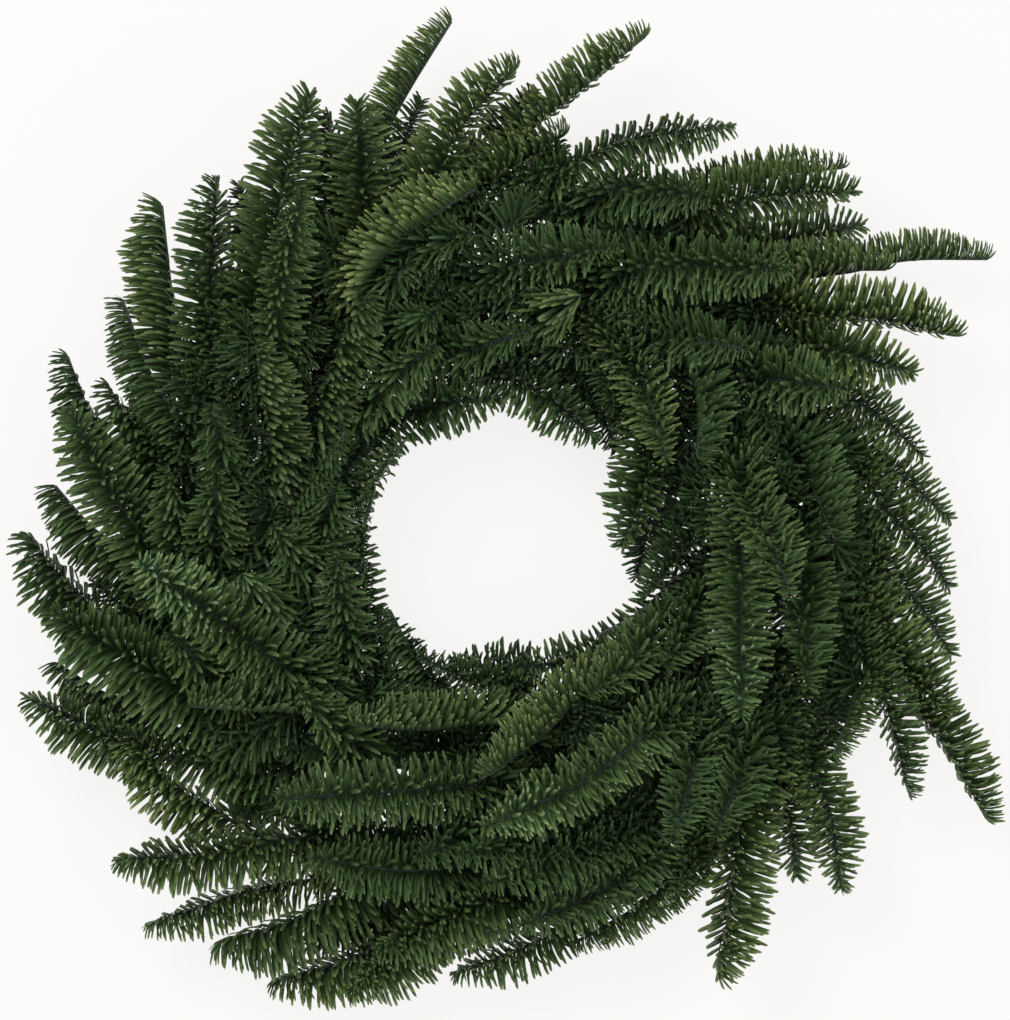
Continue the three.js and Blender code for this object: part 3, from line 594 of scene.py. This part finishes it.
def make_needle(name, bend, thickness):
    """A needle of length 1 that rises along +Z and bends towards +X."""

    def heading(t):
        early = min(t * 3, 1)
        return bend * (ROOT_BEND * early + (1 - ROOT_BEND) * t)

    def centre(t):
        place = Vector((0, 0, 0))
        for k in range(BEND_STEPS):
            angle = heading(t * (k + 0.5) / BEND_STEPS)
            place += Vector((math.sin(angle), 0, math.cos(angle))) * t / BEND_STEPS
        return place

    corners, faces, along, ridge = [], [], [], []
    for t, radius in NEEDLE_SECTIONS:
        angle = heading(t)
        across = Vector((math.cos(angle), 0, -math.sin(angle)))
        for k in range(3):
            turn = TURN * k / 3
            offset = across * math.cos(turn) * FLATTENED + Vector((0, math.sin(turn), 0))
            corners.append(centre(t) + offset * radius * thickness)
            along.append(t)
            # The corner on the needle's upper side gets 1, the others 0: the needle material paints
            # a highlight along that ridge and shade towards the lower edges.
            ridge.append(0 if k else 1)
    corners.append(centre(1))
    along.append(1)
    ridge.append(0.5)
    for ring in range(len(NEEDLE_SECTIONS) - 1):
        for k in range(3):
            a, b = ring * 3 + k, ring * 3 + (k + 1) % 3
            faces.append((a, b, b + 3, a + 3))
    last = len(corners) - 4
    faces += [(last + k, last + (k + 1) % 3, last + 3) for k in range(3)]
    faces.append((2, 1, 0))
    mesh = bpy.data.meshes.new(name)
    mesh.from_pydata(corners, [], faces)
    for label, values in (("along", along), ("ridge", ridge)):
        mesh.attributes.new(label, "FLOAT", "POINT").data.foreach_set("value", values)
    return bpy.data.objects.new(name, mesh)


# --- Node trees ----------------------------------------------------

# How needles stand on a twig. Their spread is how far they reach out of the brush: it is near 0
# for those that look away from the side to which they sweep. Each range is (from spread,
# to spread, from value, to value).
GOLDEN_ANGLE = 137.5 * DEGREE
TURN_STRAY, LEAN_STRAY = 0.12, 0.05  # radians by which they stray from the rule
SPREAD_LEANS = (0.0, 0.8, 0.6, 1.0)  # share of their lean
SPREAD_LENGTHS = (0.0, 0.9, 0.4, 1.0)  # share of their length
SPREAD_BENDS = (0.2, 0.5, 0.8, -0.1)  # how strongly they bend forward
SWEPT_BEND = 0.35  # how strongly they bend the way they are swept
THIN_UNDER = 0.42  # spread under which a needle is a thin one
SHORTER_FROM = 34 * MM  # from a twig's tip, where they begin to be shorter
SHORTEST = 0.9  # length of the shortest by chance, over the full length
LOWEST_NEEDLE = -10 * MM  # a needle whose tip would be lower, if it didn't bend, isn't there
PRESSED_UNDER, PRESSED_OVER = 2 * MM, 108 * MM  # heights between which needles stand freely
PRESSED = 0.1  # share of the way past those heights that they keep
TWIG_SIDES, RING_ROUND_SIDES, WIRE_ROUND_SIDES = 6, 16, 8  # of what is round


def add(tree, kind, inputs=None, **settings):
    """Adds a node with its settings, and sets or links its inputs by number or identifier."""
    made = tree.nodes.new(kind)
    for name, value in settings.items():
        setattr(made, name, value)
    sockets = {socket.identifier: socket for socket in made.inputs}
    for key, value in (inputs or {}).items():
        socket = made.inputs[key] if isinstance(key, int) else sockets[key]
        if isinstance(value, bpy.types.NodeSocket):
            tree.links.new(value, socket)
        else:
            socket.default_value = value
    return made


def output(node, identifier):
    return next(socket for socket in node.outputs if socket.identifier == identifier)


def calc(tree, operation, a, b=0.0):
    return add(tree, "ShaderNodeMath", {0: a, 1: b}, operation=operation).outputs[0]


def times(tree, a, b):
    return calc(tree, "MULTIPLY", a, b)


def vector(tree, operation, a, b=(0, 0, 0), give="Vector"):
    return add(tree, "ShaderNodeVectorMath", {0: a, 1: b}, operation=operation).outputs[give]


def scaled(tree, a, by):
    return add(tree, "ShaderNodeVectorMath", {0: a, "Scale": by}, operation="SCALE").outputs[0]


def between(tree, value, low, high, to_low, to_high):
    """A value that goes from to_low to to_high while the given one goes from low to high."""
    inputs = {
        "Value": value, "From Min": low, "From Max": high, "To Min": to_low, "To Max": to_high}
    return add(tree, "ShaderNodeMapRange", inputs, clamp=True).outputs["Result"]


def drawn(tree, low, high, seed, later=0.0):
    """A number drawn anew for each needle."""
    inputs = {"Min_001": low, "Max_001": high, "Seed": calc(tree, "ADD", seed, later)}
    return output(add(tree, "FunctionNodeRandomValue", inputs, data_type="FLOAT"), "Value_001")


def named(tree, name, data_type="FLOAT"):
    node = add(tree, "GeometryNodeInputNamedAttribute", {"Name": name}, data_type=data_type)
    return node.outputs["Attribute"]


def without(tree, points, gone):
    inputs = {"Geometry": points, "Selection": gone}
    return add(tree, "GeometryNodeDeleteGeometry", inputs).outputs[0]


def realized(tree, geometry):
    return add(tree, "GeometryNodeRealizeInstances", {"Geometry": geometry}).outputs[0]


def finished(tree, geometry, material):
    inputs = {"Geometry": realized(tree, geometry), "Material": material}
    return add(tree, "GeometryNodeSetMaterial", inputs).outputs[0]


def new_tree(name, inputs):
    """An empty geometry tree with named inputs, given as (name, socket type, value)."""
    tree = bpy.data.node_groups.new(name, "GeometryNodeTree")
    tree.interface.new_socket("Geometry", in_out="INPUT", socket_type="NodeSocketGeometry")
    tree.interface.new_socket("Geometry", in_out="OUTPUT", socket_type="NodeSocketGeometry")
    for label, kind, value in inputs:
        socket = tree.interface.new_socket(label, in_out="INPUT", socket_type=kind)
        if value is not None:
            socket.default_value = value
    start = tree.nodes.new("NodeGroupInput")
    end = tree.nodes.new("NodeGroupOutput")
    return tree, start.outputs, end.inputs["Geometry"]


def round_tree():
    """Turns lines into round twigs or wires."""
    tree, given, result = new_tree("Round", [
        ("Sides", "NodeSocketInt", TWIG_SIDES), ("Finish", "NodeSocketMaterial", None)])
    curve = add(tree, "GeometryNodeMeshToCurve", {"Mesh": given["Geometry"]}).outputs[0]
    outline = add(
        tree, "GeometryNodeCurvePrimitiveCircle", {"Resolution": given["Sides"], "Radius": 1.0})
    tube = add(tree, "GeometryNodeCurveToMesh", {
        "Curve": curve, "Profile Curve": outline.outputs["Curve"],
        "Scale": named(tree, "radius"), "Fill Caps": True}).outputs[0]
    tree.links.new(finished(tree, tube, given["Finish"]), result)
    return tree


def needle_tree():
    """Sets needles round twig lines. Each stands the golden angle round from the last, is swept
    to the side that its shoot faces, leans forward and bends up."""
    tree, given, result = new_tree("Needles", [
        ("Spacing", "NodeSocketFloat", 0.0005), ("Length", "NodeSocketFloat", 0.0285),
        ("Tip length", "NodeSocketFloat", 0.012), ("Lean", "NodeSocketFloat", 44 * DEGREE),
        ("Tip lean", "NodeSocketFloat", 12 * DEGREE), ("Tip reach", "NodeSocketFloat", 0.02),
        ("Side lean", "NodeSocketFloat", 60 * DEGREE), ("Seed", "NodeSocketInt", 0),
        ("Shapes", "NodeSocketCollection", None), ("Green", "NodeSocketMaterial", None)])
    curve = add(tree, "GeometryNodeMeshToCurve", {"Mesh": given["Geometry"]}).outputs[0]
    points = add(tree, "GeometryNodeCurveToPoints",
                 {"Curve": curve, "Length": given["Spacing"]}, mode="LENGTH").outputs["Points"]
    seed = given["Seed"]
    bare = calc(tree, "GREATER_THAN", drawn(tree, 0.0, 1.0, seed), named(tree, "needled"))
    points = without(tree, points, bare)

    way = vector(tree, "NORMALIZE", named(tree, "way", "FLOAT_VECTOR"))
    face = vector(tree, "NORMALIZE", named(tree, "face", "FLOAT_VECTOR"))
    aside = vector(tree, "CROSS_PRODUCT", face, way)
    index = add(tree, "GeometryNodeInputIndex").outputs[0]
    turned = times(tree, index, GOLDEN_ANGLE)
    turned = calc(tree, "ADD", turned, drawn(tree, -TURN_STRAY, TURN_STRAY, seed, 1.0))
    upward = times(tree, calc(tree, "SINE", turned), named(tree, "depth"))
    across = calc(tree, "COSINE", turned)
    far = calc(tree, "POWER", calc(tree, "ABSOLUTE", across), named(tree, "parting"))
    across = times(tree, calc(tree, "SIGN", across), times(tree, far, named(tree, "width")))
    swept = vector(tree, "ADD", scaled(tree, aside, across),
                   scaled(tree, face, calc(tree, "ADD", upward, named(tree, "sweep"))))
    outward = vector(tree, "NORMALIZE", swept)
    spread = vector(tree, "LENGTH", swept, give="Value")

    from_tip = named(tree, "from_tip")
    facing = vector(tree, "DOT_PRODUCT", outward, face, give="Value")
    lean = between(tree, facing, 0.0, 1.0, given["Side lean"], given["Lean"])
    lean = times(tree, lean, between(tree, spread, *SPREAD_LEANS))
    lean = calc(tree, "MINIMUM", lean, between(
        tree, from_tip, 0.0, given["Tip reach"], given["Tip lean"], given["Side lean"]))
    lean = calc(tree, "ADD", lean, drawn(tree, -LEAN_STRAY, LEAN_STRAY, seed, 2.0))
    root_way = vector(tree, "ADD", scaled(tree, way, calc(tree, "COSINE", lean)),
                      scaled(tree, outward, calc(tree, "SINE", lean)))
    bend_way = vector(tree, "ADD", scaled(tree, swept, SWEPT_BEND), face)
    bend_way = vector(
        tree, "ADD", bend_way, scaled(tree, way, between(tree, spread, *SPREAD_BENDS)))
    axes = {"Primary Axis": root_way, "Secondary Axis": bend_way}
    turn = add(
        tree, "FunctionNodeAxesToRotation", axes, primary_axis="Z", secondary_axis="X").outputs[0]
    length = between(tree, from_tip, 0.0, SHORTER_FROM, given["Tip length"], given["Length"])
    length = times(tree, length, drawn(tree, SHORTEST, 1.0, seed, 3.0))
    length = times(tree, length, between(tree, spread, *SPREAD_LENGTHS))
    length = times(tree, length, named(tree, "size"))

    # Short needles are nearly as thick as long ones.
    thick = calc(tree, "SQRT", times(tree, length, given["Length"]))
    scale = add(tree, "ShaderNodeCombineXYZ", {"X": thick, "Y": thick, "Z": length}).outputs[0]

    # A needle that would reach into the wreath's hole or far under the table isn't there.
    place = add(tree, "GeometryNodeInputPosition").outputs[0]
    tip = vector(tree, "ADD", place, scaled(tree, root_way, length))
    within = vector(tree, "SUBTRACT", tip, (*HOLE_MIDDLE, 0))
    within = add(tree, "ShaderNodeSeparateXYZ", {0: vector(tree, "ABSOLUTE", within)}).outputs
    in_x = calc(tree, "LESS_THAN", within["X"], HOLE_HALF[0] * MM)
    in_y = calc(tree, "LESS_THAN", within["Y"], HOLE_HALF[1] * MM)
    tip_height = add(tree, "ShaderNodeSeparateXYZ", {0: tip}).outputs["Z"]
    too_low = calc(tree, "LESS_THAN", tip_height, LOWEST_NEEDLE)
    gone = calc(tree, "MAXIMUM", times(tree, in_x, in_y), too_low)
    points = without(tree, points, gone)

    collection = {"Collection": given["Shapes"], "Separate Children": True, "Reset Children": True}
    shapes = add(tree, "GeometryNodeCollectionInfo", collection).outputs[0]
    bends = {"Min_002": 0, "Max_002": len(NEEDLE_BENDS) - 1, "Seed": seed}
    pick = output(add(tree, "FunctionNodeRandomValue", bends, data_type="INT"), "Value_002")
    thin = calc(tree, "LESS_THAN", spread, THIN_UNDER)
    pick = calc(tree, "ADD", pick, times(tree, thin, float(len(NEEDLE_BENDS))))
    needles = add(tree, "GeometryNodeInstanceOnPoints", {
        "Points": points, "Instance": shapes, "Pick Instance": True, "Instance Index": pick,
        "Rotation": turn, "Scale": scale}).outputs[0]
    tint = {"Geometry": needles, "Name": "tint", "Value": drawn(tree, 0.0, 1.0, seed, 4.0)}
    needles = add(tree, "GeometryNodeStoreNamedAttribute", tint, domain="INSTANCE").outputs[0]
    solid = realized(tree, needles)

    # Needles that would reach under the table lie bent on it, and the highest ones are bent over.
    parts = add(tree, "ShaderNodeSeparateXYZ", {0: place}).outputs
    pressed = times(tree, parts["Z"], PRESSED)
    lowest = calc(tree, "ADD", pressed, (1 - PRESSED) * PRESSED_UNDER)
    highest = calc(tree, "ADD", pressed, (1 - PRESSED) * PRESSED_OVER)
    height = calc(tree, "MINIMUM", calc(tree, "MAXIMUM", parts["Z"], lowest), highest)
    lying = add(
        tree, "ShaderNodeCombineXYZ", {"X": parts["X"], "Y": parts["Y"], "Z": height}).outputs[0]
    solid = add(tree, "GeometryNodeSetPosition", {"Geometry": solid, "Position": lying}).outputs[0]
    tree.links.new(finished(tree, solid, given["Green"]), result)
    return tree


def grown(lines, tree, name, values):
    """The plain mesh that a tree makes of some lines, as a new object."""
    modifier = lines.modifiers.new(tree.name, "NODES")
    modifier.node_group = tree
    sockets = {item.name: item.identifier for item in tree.interface.items_tree
               if item.item_type == "SOCKET" and item.in_out == "INPUT"}
    for label, value in values.items():
        modifier[sockets[label]] = value
    bpy.context.view_layer.update()
    depsgraph = bpy.context.evaluated_depsgraph_get()
    mesh = bpy.data.meshes.new_from_object(lines.evaluated_get(depsgraph), depsgraph=depsgraph)
    mesh.name = name
    lines.modifiers.remove(modifier)
    return placed(name, mesh)


def keep(piece, node):
    """Hands a piece over to the frame. The twigs replace no node: their bough's needles do."""
    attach(piece, "root")
    if node:
        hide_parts(node)


# --- Materials -----------------------------------------------------

PATCH_SCALE, PATCH_SHARE = 160.0, 0.4  # of the bluish patches on the needles
BARK_DEPTH = 0.3 * MM


def new_material(name, **values):
    material = bpy.data.materials.new(name)
    material.use_nodes = True
    shader = material.node_tree.nodes["Principled BSDF"]
    for key, value in values.items():
        shader.inputs[key.replace("_", " ").title()].default_value = value
    return material, material.node_tree, shader


def mixed(tree, factor, a, b):
    inputs = {"Factor_Float": factor, "A_Color": a, "B_Color": b}
    return output(add(tree, "ShaderNodeMix", inputs, data_type="RGBA"), "Result_Color")


def attribute(tree, name):
    node = add(tree, "ShaderNodeAttribute", attribute_name=name, attribute_type="GEOMETRY")
    return node.outputs["Fac"]


def speckle_group():
    """A mask of soft spots, whose default size suits bark and wire."""
    tree = bpy.data.node_groups.new("Speckle", "ShaderNodeTree")
    for label, value in (("Scale", 900.0), ("Low", 0.4), ("High", 0.65)):
        socket = tree.interface.new_socket(label, in_out="INPUT", socket_type="NodeSocketFloat")
        socket.default_value = value
    tree.interface.new_socket("Mask", in_out="OUTPUT", socket_type="NodeSocketFloat")
    given = tree.nodes.new("NodeGroupInput").outputs
    place = add(tree, "ShaderNodeTexCoord").outputs["Object"]
    inputs = {"Vector": place, "Scale": given["Scale"], "Detail": 3.0}
    noise = add(tree, "ShaderNodeTexNoise", inputs)
    mask = between(tree, noise.outputs["Fac"], given["Low"], given["High"], 0.0, 1.0)
    tree.links.new(mask, tree.nodes.new("NodeGroupOutput").inputs["Mask"])
    return tree


def needle_material(speckle):
    """Needles are painted darker at the root and along their lower edges, as shade, and lighter
    along their upper ridge, as a highlight. On shoots of a low tone they are painted darker, as
    shade deep in the wreath. Towards the tip they are lighter and yellower on shoots of a high
    tone: partly a yellower colour of their own and partly a painted highlight."""
    material, tree, shader = new_material("Fir needles", roughness=0.5)
    names = ("along", "ridge", "tint", "tone")
    along, ridge, tint, tone = (attribute(tree, name) for name in names)
    ridge = between(tree, ridge, 0.2, 0.9, 0.0, 1.0)
    dark = mixed(tree, tone, (0.017, 0.04, 0.014, 1), (0.034, 0.068, 0.016, 1))
    middle = mixed(tree, tone, (0.137, 0.24, 0.088, 1), (0.222, 0.356, 0.105, 1))
    tip = mixed(tree, tone, (0.13, 0.21, 0.075, 1), (0.37, 0.43, 0.15, 1))
    # Painted shade: needles darken over the first 0.4 of their length towards the twig; the random
    # tint also dims some of them.
    shade_and_tint = times(
        tree, between(tree, along, 0.0, 0.4, 0.1, 1.0), between(tree, tint, 0.0, 1.0, 0.5, 1.0))
    # Painted highlight and shade: lighter along the upper ridge, darker towards the lower edges.
    shade_and_tint = times(tree, shade_and_tint, between(tree, ridge, 0.0, 1.0, 0.3, 1.0))
    # Painted shade: needles of a low tone, such as the fillers' and gap twigs', are darker, as deep
    # in the wreath.
    shade_and_tint = times(tree, shade_and_tint, between(tree, tone, 0.05, 0.35, 0.45, 1.0))
    # Tips lighter and yellower on shoots of a high tone: partly their own yellower colour, partly a
    # painted highlight.
    tip_yellowing_and_highlight = times(
        tree, between(tree, along, 0.6, 1.0, 0.0, 1.0), between(tree, tint, 0.0, 1.0, 0.3, 1.0))
    tip_yellowing_and_highlight = times(tree, tip_yellowing_and_highlight, between(tree, tone, 0.35, 0.75, 0.1, 1.0))
    green = mixed(tree, tip_yellowing_and_highlight, mixed(tree, shade_and_tint, dark, middle), tip)
    spots = add(tree, "ShaderNodeGroup", node_tree=speckle)
    spots.inputs["Scale"].default_value = PATCH_SCALE
    patches = times(tree, spots.outputs["Mask"], PATCH_SHARE)
    blue = mixed(tree, patches, green, (0.038, 0.086, 0.04, 1))
    tree.links.new(blue, shader.inputs["Base Color"])
    return material


def spotted_material(name, speckle, colour, spots_colour, **values):
    material, tree, shader = new_material(name, **values)
    spots = add(tree, "ShaderNodeGroup", node_tree=speckle).outputs["Mask"]
    tree.links.new(mixed(tree, spots, colour, spots_colour), shader.inputs["Base Color"])
    return material, tree, shader, spots


def bark_material(speckle):
    material, tree, shader, spots = spotted_material(
        "Fir bark", speckle, (0.04, 0.048, 0.045, 1), (0.1, 0.118, 0.12, 1), roughness=0.8)
    bump = add(tree, "ShaderNodeBump", {"Height": spots, "Distance": BARK_DEPTH})
    tree.links.new(bump.outputs["Normal"], shader.inputs["Normal"])
    return material


# --- The wires -----------------------------------------------------

RING_POINTS = 120


def wire_piece(name, places, radius, sides, material, node):
    """A closed wire through the given places, in mm from the ring's middle."""
    mesh = bpy.data.meshes.new(f"{name}_line")
    edges = [(k, (k + 1) % len(places)) for k in range(len(places))]
    mesh.from_pydata([to_frame(place) for place in places], edges, [])
    layer = mesh.attributes.new("radius", "FLOAT", "POINT")
    layer.data.foreach_set("value", [radius * MM] * len(places))
    line = placed(mesh.name, mesh)
    wire = grown(line, lines_to_round, name, {"Sides": sides, "Finish": material})
    wire.data.shade_smooth()
    keep(wire, node)
    bpy.data.objects.remove(line)


def binding_line():
    """The binding wire's middle: flat under the ring, round over the stems."""
    below = RING_HEIGHT - BINDING_WIRE
    corner = WRAP / math.cos(LANE_STEP / 2)
    turn = [(-WRAP, -below), (WRAP, -below)]
    for lane in range(LANES - 1):
        direction = (lane + 0.5) * LANE_STEP
        turn.append((corner * math.cos(direction), corner * math.sin(direction)))
    places = []
    for i in range(BINDING_TURNS * len(turn)):
        outward, upward = turn[i % len(turn)]
        angle = BINDING_PITCH * i / len(turn)
        places.append(around(angle, RING_RADIUS + outward, RING_HEIGHT + upward))
    return places


def rounded(places, share=0.3):
    """A closed line with each corner cut twice."""
    for _ in range(2):
        cut = []
        for a, b in zip(places, places[1:] + places[:1]):
            cut += [a.lerp(b, share), a.lerp(b, 1 - share)]
        places = cut
    return places


# --- The wreath ----------------------------------------------------

low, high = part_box("wire_ring")
RING_MIDDLE = Vector(((low.x + high.x) / 2, (low.y + high.y) / 2, 0))
HOLE_MIDDLE = [RING_MIDDLE[axis] + HOLE_CENTRE[axis] * MM for axis in (0, 1)]

routes = lay_routes()
settle(routes)

needle_shapes = bpy.data.collections.new("Needle shapes")
for thickness in (1, THIN_NEEDLE):
    for bend in NEEDLE_BENDS:
        name = f"needle_shape_{len(needle_shapes.objects):02d}"
        needle_shapes.objects.link(make_needle(name, bend * DEGREE, thickness))

speckle = speckle_group()
needle_green = needle_material(speckle)
bark = bark_material(speckle)
lines_to_round = round_tree()
lines_to_needles = needle_tree()

rng = random.Random(SEED)
for bough, (kind, *_) in enumerate(BOUGHS):
    number = f"{bough + 1:02d}"
    rolls = SHOOT_ROLLS.get(bough + 1, (KIND_ROLLS[kind],) * 2)
    shoot_sizes = SHOOT_SIZES.get(bough + 1, (1, 1))
    tones = SHOOT_TONES.get(bough + 1, (KIND_TONES[kind],) * 2)
    twig_list = []
    for route in (route for route in routes if route["bough"] == bough):
        shoot = route["shoot"]
        roll = rng.gauss(rolls[shoot], ROLL_SPREAD) * DEGREE
        size = rng.gauss(shoot_sizes[shoot], SIZE_SPREAD)
        tone = min(1, max(0, rng.gauss(tones[shoot], TONE_SPREAD)))
        depth = rng.uniform(*KIND_DEPTHS[kind])
        twig, first_shown = shoot_twig(route, habit(roll, depth, size, tone))
        twig_list += [twig, *filler_twigs(twig, first_shown, FILLER_SHADE_TONE * tone, rng)]

    # The gap twigs take their tone from the bough's last shoot, lowered as the fillers' for painted
    # shade.
    twig_list += [gap_twig(row, FILLER_SHADE_TONE * tone) for row in GAP_TWIGS.get(bough + 1, [])]
    lines = twig_lines(f"lines_{number}", twig_list)
    twigs = grown(
        lines, lines_to_round, f"fir_twigs_{number}", {"Sides": TWIG_SIDES, "Finish": bark})
    needles = grown(lines, lines_to_needles, f"fir_needles_{number}", {
        "Seed": SEED_STEP * bough, "Shapes": needle_shapes, "Green": needle_green})
    keep(needles, f"fir_bough_{number}")
    twigs.data.shade_smooth()
    keep(twigs, None)
    bpy.data.objects.remove(lines)

ring_places = [around(TURN * k / RING_POINTS, RING_RADIUS, RING_HEIGHT) for k in range(RING_POINTS)]
steel = spotted_material(
    "Ring steel", speckle, (0.34, 0.35, 0.34, 1), (0.26, 0.25, 0.22, 1),
    roughness=0.42, metallic=1.0)[0]
wire_piece("ring_round_wire", ring_places, RING_WIRE, RING_ROUND_SIDES, steel,
           "wire_ring")
dark_green = spotted_material(
    "Binding wire", speckle, (0.03, 0.06, 0.03, 1), (0.045, 0.085, 0.045, 1), roughness=0.5)[0]
wire_piece("binding_round_wire", rounded(binding_line()), BINDING_WIRE, WIRE_ROUND_SIDES,
           dark_green, "binding_wire")

for shape in list(needle_shapes.objects):
    bpy.data.objects.remove(shape)
bpy.data.collections.remove(needle_shapes)

# --- Floor, light and camera ---------------------------------------

FLOOR_HALF = 12  # m
FLOOR_GLOW = 0.85
SKY_STRENGTH = 0.6

floor_mesh = bpy.data.meshes.new("floor")
corners = [(x * FLOOR_HALF, y * FLOOR_HALF, 0) for x, y in ((-1, -1), (1, -1), (1, 1), (-1, 1))]
floor_mesh.from_pydata(corners, [], [(0, 1, 2, 3)])
floor = placed("floor", floor_mesh)
paper, _, shader = new_material("Pale floor", roughness=0.9, base_color=(0.1, 0.1, 0.1, 1))
shader.inputs["Emission Color"].default_value = (1, 0.99, 0.975, 1)
shader.inputs["Emission Strength"].default_value = FLOOR_GLOW
floor_mesh.materials.append(paper)


def area_light(name, place, size, power, colour):
    """A soft square light that looks at the origin: its place and size in m, and its watts."""
    light = bpy.data.lights.new(name, "AREA")
    light.size = size
    light.energy = power
    light.color = colour
    lamp = placed(name, light)
    lamp.location = place
    lamp.rotation_euler = (-Vector(place)).to_track_quat("-Z", "Y").to_euler()


area_light("key_light", (-1.2, 1.6, 2.6), 1.6, 60, (1, 0.99, 0.97))
area_light("fill_light", (1.8, -0.8, 2.2), 2.4, 25, (0.97, 0.99, 1))

world = bpy.data.worlds.new("Studio")
world.use_nodes = True
sky = world.node_tree.nodes["Background"].inputs
sky["Color"].default_value = (0.98, 0.99, 1, 1)
sky["Strength"].default_value = SKY_STRENGTH
bpy.context.scene.world = world
bpy.context.scene.view_settings.view_transform = "Standard"

camera_data = bpy.data.cameras.new("camera")
camera_data.sensor_width = 36
camera_data.sensor_fit = "HORIZONTAL"
camera_data.lens = camera_data.sensor_width * (CAMERA_HEIGHT - VIEW_HEIGHT) / (IMAGE_WIDTH * PIXEL)
camera = placed("camera", camera_data)
camera.location = (
    RING_MIDDLE.x + IMAGE_MIDDLE[0] * MM, RING_MIDDLE.y + IMAGE_MIDDLE[1] * MM, CAMERA_HEIGHT)
bpy.context.scene.camera = camera
